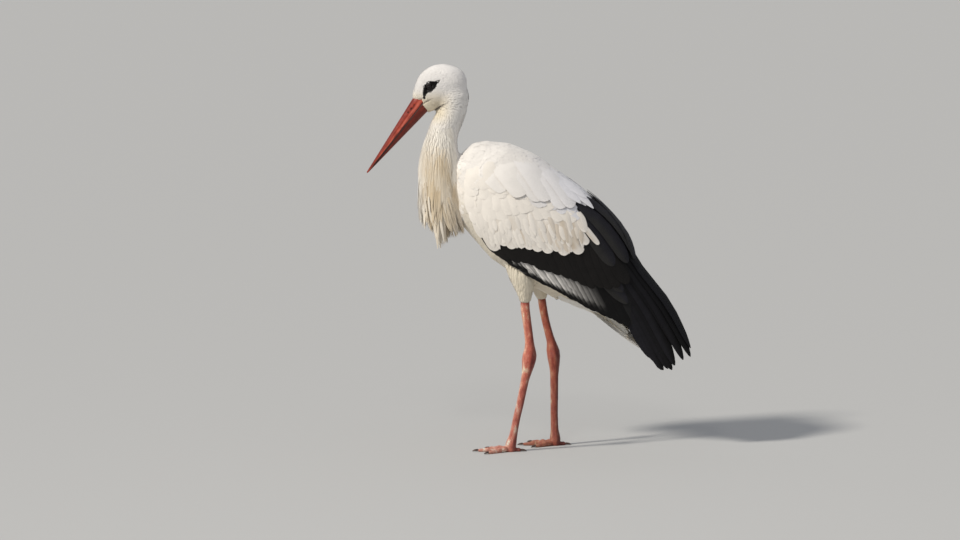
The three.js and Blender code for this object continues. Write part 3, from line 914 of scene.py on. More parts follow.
EYE_PATCH = (0.0152, 0.0101)  # half axes of the black skin round the eye
EYE_TURN = math.radians(35)  # how far the eye's opening and the patch rise to the rear
LORE_END = np.array([-0.2205, 0.7427])
MARK_END = np.array([-0.1882, 0.7782])
# The folded wing's lower edge, x and z.
WING_EDGE = np.array([(-0.020, 0.392), (0.097, 0.3215), (0.233, 0.235), (0.30, 0.19)])


def wing_edge(x):
    """The height of the folded wing's lower edge."""
    return np.interp(x, WING_EDGE[:, 0], WING_EDGE[:, 1])


def under_wing(points):
    """Whether the black feathers of a folded wing cover each place."""
    x, y, z = points.T
    edge = wing_edge(x)
    below_white = z < np.interp(x, [0.10, 0.16], [0.43, 0.60])
    return (x > WING_EDGE[0, 0]) & (z > edge + 0.007) & (np.abs(y) > 0.022) & below_white


def stroke(points, start, end, wide, narrow):
    """How far inside a tapering stroke of the side view each point lies, 0 at its edge."""
    flat = points[:, [0, 2]]
    way = end - start
    t = np.clip(((flat - start) @ way) / (way @ way), 0, 1)
    gap = np.linalg.norm(flat - start - t[:, None] * way, axis=1)
    return 1 - gap / (wide + (narrow - wide) * t)


def face_mark(points):
    """The black lore, eye patch and pointed mark behind the eye."""
    eye = np.array([EYE_CENTRE.x, EYE_CENTRE.z])
    flat = points[:, [0, 2]] - eye + np.array([0.0003, 0.0008])
    a = flat[:, 0] * math.cos(EYE_TURN) + flat[:, 1] * math.sin(EYE_TURN)
    b = -flat[:, 0] * math.sin(EYE_TURN) + flat[:, 1] * math.cos(EYE_TURN)
    patch = 1 - np.hypot(a / EYE_PATCH[0], b / EYE_PATCH[1])
    lore = stroke(points, eye + np.array([-0.009, -0.007]), LORE_END, 0.0058, 0.0018) * 0.9
    mark = stroke(points, eye + np.array([0.009, 0.006]), MARK_END, 0.0044, 0.0006) * 0.5
    return step(-0.06, 0.2, np.max([patch, lore, mark], axis=0))


# Creases of the face, x and z in mm: the gape's end in the cheek, and the line under the jaw. The skin is
# pushed in along them, and painted shade darkens them.
GAPE_CREASE = [(-222, 731), (-214, 735.5), (-208, 739), (-201, 741.5)]
JAW_CREASE = [(-196, 717), (-191, 721), (-185, 725), (-177, 728.5), (-170, 733)]


def creases(points):
    """How deep in a crease of the face each point lies, from 0 to 1."""
    deep = np.zeros(len(points))
    flat = points[:, [0, 2]]
    for line, wide in ((GAPE_CREASE, 0.0016), (JAW_CREASE, 0.0019)):
        spots = along(np.array(line) * MM, 40)
        gaps = np.sqrt(((flat[:, None] - spots[None]) ** 2).sum(2))
        nearest = gaps.argmin(1)
        fading = 1 - 0.8 * step(12, 39, nearest)
        deep = np.maximum(deep, fading * np.exp(-((gaps.min(1) / wide) ** 2)))
    return deep


# ---------- Legs, joined to the skin ----------

SHANK_TOPS = {"left": [(-9, 328), (-11, 352)], "right": [(26, 324), (23, 347)]}  # x, z in mm


SHANK_ROOT_RADIUS = 7.2
# Round the heel: x, z, half depth and half width, in mm, from below.
HEELS = {
    "left": [(0, 199, 13.6, 12.4), (1.2, 207, 13.6, 12.2), (1.6, 213, 12.0, 10.8), (1.4, 221, 10.0, 9.0),
             (0.4, 234, 8.4, 7.2)],
    "right": [(51.5, 196, 12.8, 12.0), (50.6, 203, 12.8, 11.8), (49.6, 209, 11.3, 10.6), (48, 217, 9.4, 8.8),
              (45, 230, 7.9, 7.0)],
}


def leg_tube(side, sections, corners):
    """A closed tube of a leg from rows of x, z, half depth and half width, in mm, from below."""
    angle = np.linspace(0, 2 * math.pi, corners, endpoint=False)
    rings = []
    for x, z, deep, wide in sections:
        ring = np.stack([deep * np.cos(angle) + x, wide * np.sin(angle), np.full(corners, z)], 1) * MM
        rings.append(ring + ACROSS * SIDES[side] * LEG_Y)
    return closed_grid(np.array(rings))


def shank_root(side):
    """A short post from the top of the shank up into the thigh."""
    (x0, z0), (x1, z1) = SHANK_TOPS[side]
    sections = []
    for share in np.linspace(0, 1, 8):
        radius = SHANK_ROOT_RADIUS * (1 - 0.25 * share)
        sections.append((x0 + (x1 - x0) * share, z0 + (z1 - z0) * share, radius, radius))
    return leg_tube(side, sections, 16)


def heel(side):
    """A short tube that closes the joint between the shank and the tarsus."""
    return leg_tube(side, HEELS[side], 20)


LEG_SWELL = 0.0007  # makes up for what the smoothing draws in


def join_legs(body, frame, looks):
    """The legs' own fine surface, united with the body's skin."""
    pieces = []
    for side in SIDES:
        names = [f"shank_{side}", f"tarsus_{side}"]
        names += [f"toe_{toe}_{side}" for toe in TOES]
        pieces += [arrays_of(frame["nodes"][n]) for n in names] + [shank_root(side), heel(side)]
    legs = remeshed("legs", *joined(pieces), voxel=LEG_VOXEL, smoothing=3)
    points, _ = arrays_of(legs)
    points += point_normals(legs.data) * LEG_SWELL
    points[:, 2] = np.maximum(points[:, 2], 0.0)
    move_points(legs, points)
    for obj in (body, legs):
        obj.data.materials.append(looks["bed"])
        obj.data.materials.append(looks["leg"])
    legs.data.polygons.foreach_set("material_index", np.ones(len(legs.data.polygons), int))
    union = body.modifiers.new("union", "BOOLEAN")
    union.operation = "UNION"
    union.solver = "MANIFOLD"
    union.object = legs
    apply_modifiers(body)
    bpy.data.objects.remove(legs)
    return body


def paint_skin(skin, markings):
    """The skin's colours: the plumage's, and the legs' below the thighs. Its own map is the unwrap."""
    points, _ = arrays_of(skin)
    shades = markings.tone(points)
    bare = (1 - step(0.305, 0.318, points[:, 2])) * ((points[:, 0] < 0.09) | (points[:, 2] < 0.17))
    shades = mixed(shades, leg_tone(points), bare)
    paint(skin, shades)
    corners = np.zeros(len(skin.data.loops), int)
    skin.data.loops.foreach_get("vertex_index", corners)
    layer = skin.data.uv_layers.new(name="OFBake")
    layer.data.foreach_set("uv", unwrap(points)[corners].ravel())
    skin.data.shade_smooth()


# Painted shade: the far leg darker all over.
FAR_LEG_PAINTED_SHADE = np.array([0.60, 0.48, 0.38])
LEG_LINES = {
    "left": [(-9, 328), (-4, 272), (1.6, 220), (-1, 190), (-9, 150), (-27, 66), (-38, 14)],
    "right": [(26, 324), (35, 268), (48, 218), (53, 186), (54, 144), (54, 60), (56, 14)],
}


def leg_tone(points):
    """Darker and redder at the heel, paler below it; painted light down the front, painted shade down the
    rear and over the far leg.
    """
    x, y, z = points.T
    pale = step(0.18, 0.10, z)[:, None]
    heel = np.exp(-(((z - 0.197) / 0.020) ** 2))[:, None]
    shade = np.array([1.42, 2.05, 1.8]) * (1 - pale) + np.array([1.2, 1.8, 1.75]) * pale
    shade = shade * (1 - np.array([0.15, 0.4, 0.4]) * heel)
    for side, sign in SIDES.items():
        line = np.array(LEG_LINES[side])[::-1] * MM
        behind = (x - np.interp(z, line[:, 1], line[:, 0])) / 0.009
        # Painted light and shade: paler down the lit front and darker down the shaded rear of each leg's
        # outer half.
        rear = step(0.1, 0.9, behind)[:, None] * (y * sign > 0)[:, None]
        front = step(-0.35, -0.95, behind)[:, None] * (y * sign > 0)[:, None]
        shade = shade * (1 - np.array([0.6, 0.72, 0.72]) * rear) * (1 + np.array([0.25, 1.1, 1.3]) * front)
    # Painted shade on the far leg.
    shade[y > 0] *= FAR_LEG_PAINTED_SHADE
    return shade


# ---------- Coat of small feathers ----------

EYE_OPENING = 0.0078


def graded(low, rise, start, end, measure):
    """A value for each place: low before the measure's start, and low + rise after its end."""
    return lambda places: low + rise * step(start, end, measure(places))


def even(value):
    return lambda places: np.full(len(places), value)


def from_bill(places):
    return np.linalg.norm(places - BILL_CORNER, axis=1)


def rearward(places):
    return places[:, 0]


def upward(places):
    return places[:, 2]


def on_rear_wing(places):
    x, y, z = places.T
    return (x > 0.12) & (np.abs(y) > 0.030) & (z > wing_edge(x) - 0.002)


def past_mantle(places):
    return (places[:, 0] > 0.105) & (places[:, 2] < 0.515)


def coat_zones(surface, markings):
    """Which triangles each coat of small feathers covers. Neighbouring zones mingle on the nape."""
    part = markings.part(surface.centres)
    wing = np.isin(part, ["wing_coverts", "wing_tertials", "wing_secondaries", "wing_primaries"])
    x, y, z = surface.centres.T
    rump = wing & (np.abs(y) < 0.03) & (x < 0.12)
    zones = {
        "head": part == "head",
        "neck": np.isin(part, ["neck_upper", "neck_lower"]) | ((part == "breast_plumes") & (z > 0.52)),
        "trunk": np.isin(part, ["trunk", "tail", "breast_plumes"]) | rump,
        "thigh": part == "thigh",
        "mantle": (part == "scapulars") & (x < 0.10),
    }
    over_edge = z > wing_edge(x) + np.interp(x, [0.05, 0.15], [0.004, 0.001])
    above_tail = (x > 0.02) & (np.abs(y) > 0.015) & over_edge & (z < 0.40)
    beside_tail = (x > 0.15) & (np.abs(y) > 0.032)
    zones["trunk"] &= ~under_wing(surface.centres) & ~above_tail & ~beside_tail
    chance = rng.random(len(part))
    up_the_nape = zones["head"] & (chance < step(0.80, 0.745, z) * step(-0.20, -0.17, x))
    zones["head"] |= zones["neck"] & (chance < 0.6 * step(0.735, 0.77, z))
    zones["neck"] |= up_the_nape
    eye_gap = np.linalg.norm(surface.centres[:, [0, 2]] - np.array([EYE_CENTRE.x, EYE_CENTRE.z]), axis=1)
    zones["head"] &= (eye_gap > EYE_OPENING) & (past_feather_edge(surface.centres) < -0.0008)
    zones["face"] = zones["head"] & (face_mark(surface.centres) > 0.5)
    zones["head"] &= ~zones["face"]
    return zones


def make_body_coats(surface, markings, looks):
    """The coats of small feathers, one for each zone, smallest on the face."""

    def fair(points):
        """The markings, with the belly's tone where a side wing's black would be."""
        shade = markings.tone(points)
        high = (np.abs(points[:, 1]) < 0.028) & (points[:, 2] > wing_edge(points[:, 0]) + 0.03)
        shade[(shade.max(axis=1) < 0.1) & ~high] = BELLY
        return shade

    def black(places):
        return np.tile(FACE_BLACK, (len(places), 1))

    def down(places):
        return np.tile([0.05, 0.0, -1.0], (len(places), 1))

    zones = coat_zones(surface, markings)
    white = looks["white"]
    scattered_coat(
        "coat_head", surface, zones["head"],
        spacing=graded(0.0019, 0.0009, 0.03, 0.09, from_bill),
        length=graded(0.0048, 0.0052, 0.02, 0.09, from_bill),
        width=graded(0.0026, 0.0022, 0.03, 0.09, from_bill),
        tone=markings.tone, look=white, ruffle=0.08, rise=0.22, shade=0.015, softness=0.22, marked=True)
    scattered_coat(
        "coat_face", surface, zones["face"], spacing=even(0.0017), length=even(0.0042), width=even(0.0022),
        tone=black, look=looks["black"], ruffle=0.1, rise=0.22, softness=0.22)
    scattered_coat(
        "coat_neck", surface, zones["neck"],
        spacing=graded(0.0034, 0.0016, 0.72, 0.62, upward),
        length=graded(0.013, 0.018, 0.74, 0.60, upward),
        width=graded(0.0058, 0.0028, 0.72, 0.62, upward),
        tone=markings.tone, tip=LANCE_TIP, look=white, ruffle=0.08, shade=0.03, marked=True)
    scattered_coat(
        "coat_trunk", surface, zones["trunk"],
        spacing=graded(0.0066, 0.002, -0.1, 0.1, rearward),
        length=graded(0.028, 0.014, -0.1, 0.15, rearward),
        width=graded(0.016, 0.004, -0.1, 0.1, rearward),
        tone=fair, tip=ROUND_TIP, columns=PLAIN, look=white, ruffle=0.1, rise=0.22, shade=0.02,
        barred=on_rear_wing)
    scattered_coat(
        "coat_thighs", surface, zones["thigh"],
        spacing=even(0.0036), length=graded(0.022, 0.006, 0.33, 0.38, upward), width=even(0.0072),
        tone=fair, tip=LANCE_TIP, look=white, ruffle=0.06, rise=0.2, shade=0.03, way=down)
    scattered_coat(
        "coat_mantle", surface, zones["mantle"],
        spacing=graded(0.0075, 0.004, -0.08, 0.1, rearward),
        length=graded(0.030, 0.022, -0.08, 0.08, rearward),
        width=graded(0.018, 0.008, -0.08, 0.08, rearward),
        tone=markings.tone, tip=ROUND_TIP, columns=PLAIN, look=white, ruffle=0.06, rise=0.2, shade=0.015,
        barred=past_mantle)


# ---------- Feathers placed one by one ----------

# The outside of the folded wings: x, z, and the radii to the back, to the belly and to the side, in mm.
WING_STATIONS = [
    (-158, 574, 60, 60, 44), (-124, 554, 107, 84, 71), (-71, 527, 125, 98, 89), (-15, 485, 130, 110, 95),
    (44, 432, 140, 106, 92), (103, 374, 136, 98, 80), (153, 322, 114, 84, 64), (202, 277, 101, 74, 49),
    (250, 235, 89, 62, 37), (292, 205, 62, 48, 26), (330, 178, 32, 26, 12),
]
WING_SQUARE = 2.3  # the exponent of the wings' section


def smooth_through(values, count):
    """A smooth line through rows of values, by Catmull and Rom's rule."""
    values = np.asarray(values, float)
    padded = np.concatenate([2 * values[:1] - values[1:2], values, 2 * values[-1:] - values[-2:-1]])
    place = np.linspace(0, len(values) - 1, count)
    index = np.minimum(place.astype(int), len(values) - 2)
    t = (place - index)[:, None]
    a, b, c, d = (padded[index + i] for i in range(4))
    return 0.5 * (2 * b + (c - a) * t + (2 * a - 5 * b + 4 * c - d) * t**2 + (3 * b - a - 3 * c + d) * t**3)


def wing_body():
    """The smooth closed body that both folded wings make together."""
    table = smooth_through(WING_STATIONS, 90) * MM
    line = np.stack([table[:, 0], 0 * table[:, 0], table[:, 1]], 1)
    tangent = unit(np.gradient(line, axis=0))
    angle = np.linspace(0, 2 * math.pi, 96, endpoint=False)
    c, n = np.cos(angle), np.sin(angle)
    power = 2 / WING_SQUARE
    up_share, side_share = np.sign(c) * np.abs(c) ** power, np.sign(n) * np.abs(n) ** power
    rings = []
    for place, way, (_, _, dorsal, ventral, wide) in zip(line, tangent, table):
        back = np.cross(way, ACROSS)
        reach = np.where(c > 0, dorsal, ventral)
        rings.append(place + back * (up_share * reach)[:, None] + ACROSS * (side_share * wide)[:, None])
    points, faces = closed_grid(np.array(rings))
    centre = points.mean(0)
    p, q, r = (points[faces[:, i]] for i in range(3))
    if np.sum(np.einsum("ij,ij->i", np.cross(q - p, r - p), (p + q + r) / 3 - centre)) < 0:
        faces = faces[:, ::-1]
    return points, faces


MISSED_Y = -0.045  # a line of sight past the surface is followed to this depth


def seen(surface, places):
    """Points of the left side where the camera sees them, from (across, down) in the picture."""
    right = Vector((1, 0, 0))
    back = camera_back()
    up = back.cross(right)
    eye = AIM + back * CAMERA_DISTANCE
    found = []
    for across, down in places:
        across, down = (across - PICTURE[0] / 2) * PIXEL, (down - PICTURE[1] / 2) * PIXEL
        target = AIM + right * across - up * down
        way = (target - eye).normalized()
        hit, _, _, _ = surface.tree.ray_cast(eye, way)
        if hit is None:
            side = eye + way * ((MISSED_Y - eye.y) / way.y)
            hit = surface.tree.find_nearest(side)[0]
        found.append(tuple(hit))
    return np.array(found)


def along(places, count, ends=(0.0, 1.0)):
    """Evenly spaced points on a broken line through the places."""
    places = np.asarray(places, float)
    gaps = np.linalg.norm(np.diff(places, axis=0), axis=1)
    run = np.concatenate([[0], np.cumsum(gaps)])
    wanted = np.linspace(ends[0], ends[1], count) * run[-1]
    return np.stack([np.interp(wanted, run, places[:, i]) for i in range(places.shape[1])], 1)


def laid(surface, roots, tips, rows, heights, bow=0.0):
    """Lines from the roots to the tips over the skin, and their normals.

    bow is how far a line swings to its upper side, as a share of its length.
    """
    chord = tips - roots
    length = np.linalg.norm(chord, axis=1, keepdims=True)
    _, normals = surface.settle((roots + tips) / 2)
    swing = unit(np.cross(normals, chord)) * length * np.asarray(bow).reshape(-1, 1)
    lines, ups = [], []
    for share in rows:
        place, normal = surface.settle(roots + chord * share + swing * math.sin(math.pi * share))
        lines.append(place + normal * np.asarray(heights(share)).reshape(-1, 1))
        ups.append(normal)
    ups = np.stack(ups, 1)
    for _ in range(2):
        ups[:, 1:-1] = unit(ups[:, :-2] + 2 * ups[:, 1:-1] + ups[:, 2:])
    return np.stack(lines, 1), ups


OUTER_WEB = (0.9, 1.0, 0.35, 0.0, 0.0)  # how much of the edge's colour each column of a vane takes


def row_of(name, surface, roots, tips, width, height, look, slot, tone, tip=BROAD_TIP, bow=0.03,
           tilt=0.08, columns=RICH, camber=0.12, edge=None, edge_rows=(0.2, 1.0), edge_share=1.0,
           rise=0.0012, sink=0.0, thickness=0.0004, stray=0.0015, softness=0.25):
    """A row of like feathers on both wings, by side. tone is one colour or one for each feather.

    edge is the colour of the outer web. edge_rows are the shares of the length that it covers.
    The row stands height above the surface, rise more at its tips and sink less at its roots.
    """
    rows, profile = tip
    count = len(tips)
    roots = roots + rng.normal(0, 2 * stray, roots.shape)
    tips = tips + rng.normal(0, stray, tips.shape)
    lines, ups = laid(surface, roots, tips, rows,
                      lambda share: height + rise * share - sink * (1 - step(0.0, 0.4, share)), bow)
    widths = np.broadcast_to(np.asarray(width, float).reshape(-1, 1), (count, 1)) * np.array(profile) / 2
    shape = (count, len(rows), columns[0], 3)
    colours = np.array(np.broadcast_to(np.asarray(tone)[..., None, None, :], shape))
    colours *= jitter(count, 0.03)[:, None, None, None]
    if edge is not None:
        shares = np.array(rows)
        cover = step(edge_rows[0] - 0.08, edge_rows[0] + 0.08, shares)
        cover = cover * (1 - step(edge_rows[1] - 0.06, edge_rows[1] + 0.06, shares))
        web = np.array(OUTER_WEB)[:columns[0]]
        strength = np.broadcast_to(edge_share, (count,)).reshape(-1, 1, 1, 1)
        cover = cover[None, :, None, None] * web[None, None, :, None] * strength
        colours = colours * (1 - cover) + np.asarray(edge) * cover
    made = {}
    for side in SIDES:
        obj = vanes(f"{name}_{side}", lines, ups, widths, colours, columns, camber, thickness, tilt,
                    mirror=side == "right", softness=softness)
        made[side] = dressed(obj, look)
    return made


def stands_for(row, part):
    for side, obj in row.items():
        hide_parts(f"{part}_{side}")


SECONDARIES = np.arange(26)
# The outermost secondaries lie over the belly's edge, and the others under the coverts.
SECONDARY_HEIGHTS = np.interp(SECONDARIES, [0, 5, 10, 25], [-0.0020, -0.0024, -0.0030, -0.0036])
# How silvery their outer webs are: every other one a little less.
SILVER_SHARES = np.interp(SECONDARIES, [3, 6, 14, 19, 23], [0, 1, 1, 0.45, 0])
SILVER_SHARES *= 0.75 + 0.25 * (SECONDARIES % 2)


# For each row: how many feathers a wing has in it, and where their roots and tips are in the picture, as
# (across, down) from the front to the rear. Fewer places than feathers are the corners of their line.
ROW_PLACES = {
    "secondaries": (
        26,
        [(474, 216), (486, 230), (500, 240), (524, 250), (552, 258), (580, 264), (602, 262)],
        [(497, 254), (513, 264), (530, 275), (550, 287), (577, 301), (602, 314), (619, 322), (628, 327)],
    ),
    "black_coverts": (
        16,
        [(480, 224), (500, 225), (530, 225), (560, 225), (590, 232), (602, 240)],
        [(503, 256), (519, 262), (534, 264), (546, 270), (557, 273), (572, 279), (592, 288), (616, 289),
         (628, 283)],
    ),
    "white_coverts": (
        13,
        [(478, 205), (487, 205), (497, 205), (507, 205), (515, 205), (524, 206), (533, 207), (541, 208),
         (549, 209), (556, 209), (563, 210), (570, 211), (577, 213)],
        [(497, 251), (506, 246), (515, 248), (525, 248), (532, 249), (541, 251), (551, 252), (559, 251),
         (567, 254), (573, 251), (582, 254), (589, 246), (599, 244)],
    ),
    "inner_coverts": (
        13,
        [(476, 204), (515, 204), (550, 208), (578, 212)],
        [(483, 238), (492, 239), (502, 238), (512, 239), (520, 237), (528, 241), (538, 239), (546, 243),
         (556, 241), (564, 245), (573, 240), (581, 241), (588, 232)],
    ),
    "median_coverts": (
        13,
        [(470, 188), (485, 192), (500, 192), (530, 195), (560, 200)],
        [(480, 219), (490, 223), (503, 219), (520, 214), (540, 216), (560, 220), (577, 219)],
    ),
    "lesser_coverts_c": (
        12,
        [(468, 180), (485, 184), (500, 186), (530, 190), (556, 196)],
        [(473, 204), (486, 210), (503, 207), (520, 206), (545, 209), (568, 211)],
    ),
    "lesser_coverts_b": (
        13,
        [(469, 174), (482, 176), (498, 180), (525, 186), (548, 192)],
        [(473, 194), (486, 198), (503, 197), (522, 199), (542, 202), (560, 206)],
    ),
    "lesser_coverts_a": (
        12,
        [(468, 168), (480, 168), (492, 172), (520, 182), (540, 188)],
        [(472, 187), (483, 188), (496, 188), (518, 193), (545, 199)],
    ),
    "tertials": (
        7,
        [(558, 218), (560, 213), (561, 209), (564, 203), (569, 198), (577, 193), (586, 190)],
        [(628, 304), (624, 292), (617, 284), (614, 264), (628, 262), (635, 256), (641, 257)],
    ),
    "scapulars": (
        6,
        [(484, 168), (496, 162), (508, 160), (518, 158), (528, 160), (538, 164)],
        [(507, 190), (524, 195), (541, 200), (549, 201), (563, 208), (572, 208)],
    ),
    "long_scapulars": (
        4,
        [(545, 170), (550, 173), (554, 176), (560, 179)],
        [(580, 204), (586, 199), (593, 209), (587, 197)],
    ),
    "primary_coverts": (
        8,
        [(592, 262), (606, 250), (618, 244)],
        [(614, 319), (627, 327), (641, 325), (647, 304), (650, 284)],
    ),
    "primaries": (
        10,
        [(601, 276), (603, 272), (605, 268), (608, 264), (611, 260), (614, 256), (617, 253), (620, 250),
         (623, 247), (626, 244)],
        [(650, 359), (656, 364), (663, 372), (668, 370), (672, 371), (675, 366), (680, 352), (688, 364),
         (691, 357), (691, 348)],
    ),
}


def spread(places, count):
    return np.asarray(places, float) if len(places) == count else along(places, count)


def make_wings(surface, looks):
    """The rows of both wings, each over the one before, from the outermost to the back."""

    def row(name, width, height, tone, kind="white", **values):
        count, roots, tips = ROW_PLACES[name]
        roots, tips = (seen(surface, spread(places, count)) for places in (roots, tips))
        return row_of(name, surface, roots, tips, width, height, looks[kind], f"plumage_{kind}", tone,
                      **values)

    secondaries = row(
        "secondaries", 0.025, SECONDARY_HEIGHTS, BLACK, "black", bow=-0.01, tilt=0.07, stray=0.001,
        edge=SILVER, edge_rows=(0.2, 0.77), edge_share=SILVER_SHARES)
    # The black coverts: warm brown-black, lightened as painted sheen.
    row("black_coverts", 0.030, -0.0012, WARM_BLACK_AND_SHEEN, "black", bow=-0.02, tilt=0.06)
    white_coverts = row(
        "white_coverts",
        [0.034, 0.026, 0.028, 0.031, 0.026, 0.030, 0.030, 0.025, 0.029, 0.024, 0.031, 0.022, 0.013],
        -0.0007, COVERT_WHITE * 0.97, tip=BLUNT_TIP, bow=-0.02, tilt=0.09, rise=0.002, edge=STAIN,
        edge_rows=(0.3, 0.85),
        edge_share=[0.1, 0.3, 0.3, 0.2, 0.5, 0.2, 0.4, 0.5, 0.5, 0.6, 0.8, 0.9, 0.4])
    row("inner_coverts",
        [0.034, 0.032, 0.032, 0.030, 0.028, 0.032, 0.030, 0.032, 0.028, 0.030, 0.029, 0.028, 0.022],
        0.0002, COVERT_WHITE, tip=FINGER_TIP, bow=-0.02, tilt=0.06, rise=0.0010, stray=0.004, edge=STAIN,
        edge_rows=(0.3, 0.8), edge_share=[0, 0.1, 0.2, 0, 0.25, 0, 0.3, 0, 0.3, 0.4, 0.6, 0.7, 0.2])
    row("median_coverts", 0.032, 0.0001, COVERT_WHITE * 1.02, bow=-0.02, tilt=0.05, stray=0.0055)
    row("lesser_coverts_c", 0.032, 0.0004, COVERT_WHITE * 1.02, tilt=0.04, rise=0.0008, sink=0.002,
        stray=0.005)
    row("lesser_coverts_b", 0.030, 0.0008, COVERT_WHITE, tilt=0.03, rise=0.0007, sink=0.003, stray=0.004)
    row("lesser_coverts_a", 0.030, 0.0012, COVERT_WHITE * 0.97, tilt=0.03, rise=0.0006, sink=0.004,
        stray=0.004)
    loose_webs(surface, looks)
    # The tertials' bluish tone and the primaries' bluish outer webs are painted sheen.
    tertials = row(
        "tertials", [0.030, 0.030, 0.032, 0.034, 0.034, 0.032, 0.026],
        np.array([-0.0026, -0.0022, -0.0018, -0.0010, -0.0004, 0.0002, 0.0006]), BLUISH_SHEEN * 1.5, "black",
        tilt=0.05, bow=[-0.02, -0.02, -0.02, 0.02, 0.05, 0.08, 0.08], edge=SILVER * 0.03,
        edge_rows=(0.3, 1.1))
    scapulars = row(
        "scapulars", [0.046, 0.052, 0.044, 0.048, 0.042, 0.036],
        np.array([0.0014, 0.0032, 0.0026, 0.0032, 0.0024, 0.0030]),
        mixed(WHITE, BACK_WHITE, np.array([0, 0, 0.2, 0.3, 0.5, 0.6])), tip=BLUNT_TIP,
        tilt=[0.05, 0.10, 0.04, 0.10, 0.05, 0.08], sink=0.005)
    row("long_scapulars", [0.034, 0.028, 0.026, 0.012], np.array([0.0026, 0.0022, 0.0018, 0.0002]),
        BACK_WHITE, tip=POINTED_TIP, tilt=[0.07, 0.05, 0.03, -0.1], rise=0.0008, sink=0.003, stray=0.0)
    row("primary_coverts", 0.030, -0.0062, BLACK, "black", tip=BLADE_TIP, tilt=0.04, stray=0.0)
    primaries = row(
        "primaries", [0.028, 0.030, 0.030, 0.028, 0.028, 0.030, 0.030, 0.028, 0.028, 0.027],
        -0.0060 + 0.0004 * np.arange(10), BLACK * 0.7, "black", tilt=0.09, bow=0.035, tip=BLADE_TIP,
        edge=BLUISH_SHEEN * 1.1, edge_rows=(0.2, 1.1), edge_share=[1, 1, 0.8, 0.6, 0.3, 0.8, 0.2, 0.5, 0.1, 0.6],
        thickness=0.0006, stray=0.0)
    stands_for(secondaries, "wing_secondaries")
    stands_for(white_coverts, "wing_coverts")
    stands_for(tertials, "wing_tertials")
    stands_for(scapulars, "scapulars")
    stands_for(primaries, "wing_primaries")


# Where the loose webs of the white coverts end: along the coverts' tips, as the camera sees them.
WEB_ENDS = [(480, 236), (490, 245), (497, 251), (506, 247), (515, 248), (525, 249), (532, 249), (541, 251),
            (551, 252), (559, 251), (567, 254), (575, 252), (584, 250)]
WEB_COUNT = 84
WEB_BAND = 20  # how far above the coverts' tips the loose webs end, in pixels of the picture


def loose_webs(surface, looks):
    """Narrow strips of the white coverts' webs that have come loose, white or stained."""
    down = along(WEB_ENDS, WEB_COUNT)
    up = WEB_BAND * rng.random(WEB_COUNT) ** 1.5
    ends = down + np.stack([-0.35 * up, -up], 1) + rng.normal(0, 0.8, (WEB_COUNT, 2))
    reach = rng.uniform(15, 26, WEB_COUNT)
    lean = rng.normal(0.30, 0.10, WEB_COUNT)
    starts = ends - np.stack([lean * reach, reach], 1)
    stained = rng.random(WEB_COUNT) * step(515, 565, ends[:, 0])
    white = COVERT_WHITE * rng.uniform(0.93, 1.08, WEB_COUNT)[:, None]
    tone = mixed(white, STAIN, step(0.3, 0.9, stained) * 0.55)
    row_of("loose_webs", surface, seen(surface, starts), seen(surface, ends),
           rng.uniform(0.009, 0.017, WEB_COUNT), 0.0006 + 0.0008 * up / WEB_BAND, looks["white"],
           "plumage_white", tone, tip=WEB_TIP, bow=rng.normal(0, 0.03, WEB_COUNT),
           tilt=rng.normal(0.08, 0.05, WEB_COUNT), rise=0.0008, sink=0.002)


# ---------- The ruff of long breast feathers ----------

# Where the lowest locks end, x and z in mm, and how many strands each has, from the front backwards.
LOCK_TIPS = [(-231, 524, 0), (-228, 508, 3), (-226, 474, 4), (-219, 466, 4), (-202, 461, 5), (-190, 436, 7),
             (-186, 426, 8), (-177, 434, 6), (-160, 451, 2), (-149, 446, 2), (-142, 474, 0), (-136, 500, 0)]


def make_ruff(surface, looks):
    """Lances that hang down from the lower neck, past the breast, gathered in locks."""
    x, y, z = surface.centres.T
    front = (x < -0.146 - 0.014 * step(0.58, 0.62, z) - 0.15 * np.abs(y)) & (z > 0.505) & (z < 0.690)
    roots, _ = surface.scatter(front, lambda p: np.full(len(p), 0.0041))
    hem = np.array(LOCK_TIPS) * np.array([MM, MM, 1])
    lowest = np.interp(roots[:, 0], hem[:, 0], hem[:, 1]) + 0.012 * rng.random(len(roots))
    lengths = (roots[:, 2] - lowest) * rng.uniform(0.75, 1.0, len(roots))
    lengths = np.clip(lengths, 0.02, 0.024 + 0.040 * step(0.69, 0.62, roots[:, 2]))
    middles, _ = surface.scatter(front, lambda p: np.full(len(p), 0.018))
    nearest = np.array([np.argmin(((middles - root) ** 2).sum(1)) for root in roots])
    gather = (middles[nearest] - roots) * np.array([1, 1, 0]) / lengths[:, None]
    gather *= (0.35 + 0.5 * step(0.60, 0.53, roots[:, 2]))[:, None]
    back = step(-0.205, -0.165, roots[:, 0])
    ways = np.stack([0.02 + 0.26 * back, 0 * back, -np.ones(len(roots))], 1) + gather
    ways = unit(ways + rng.normal(0, 0.03, ways.shape))
    low_roots, low_tips = locks(surface, hem)
    rows, profile = LANCE_TIP
    first, first_up = drape(surface, roots, ways, lengths, rows)
    second, second_up = hang(low_roots, low_tips, rows)
    lines, ups = np.concatenate([first, second]), np.concatenate([first_up, second_up])
    wide = rng.uniform(0.0055, 0.0082, len(first)) * (1 + 0.5 * step(0.58, 0.66, roots[:, 2]))
    widths = np.concatenate([wide, rng.uniform(0.0038, 0.0062, len(second))])
    widths = widths[:, None] * np.array(profile)[None] / 2
    lock_shade = rng.uniform(0.0, 1.0, len(middles))[nearest]
    lock_shade = np.concatenate([lock_shade, rng.uniform(-0.35, 0.2, len(second))])
    obj = vanes("ruff", lines, ups, widths, ruff_tone(lines[:, 0], lock_shade, np.array(rows)), PLAIN, 0.08,
                softness=0.15)
    dressed(obj, looks["white"])
    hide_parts("breast_plumes")


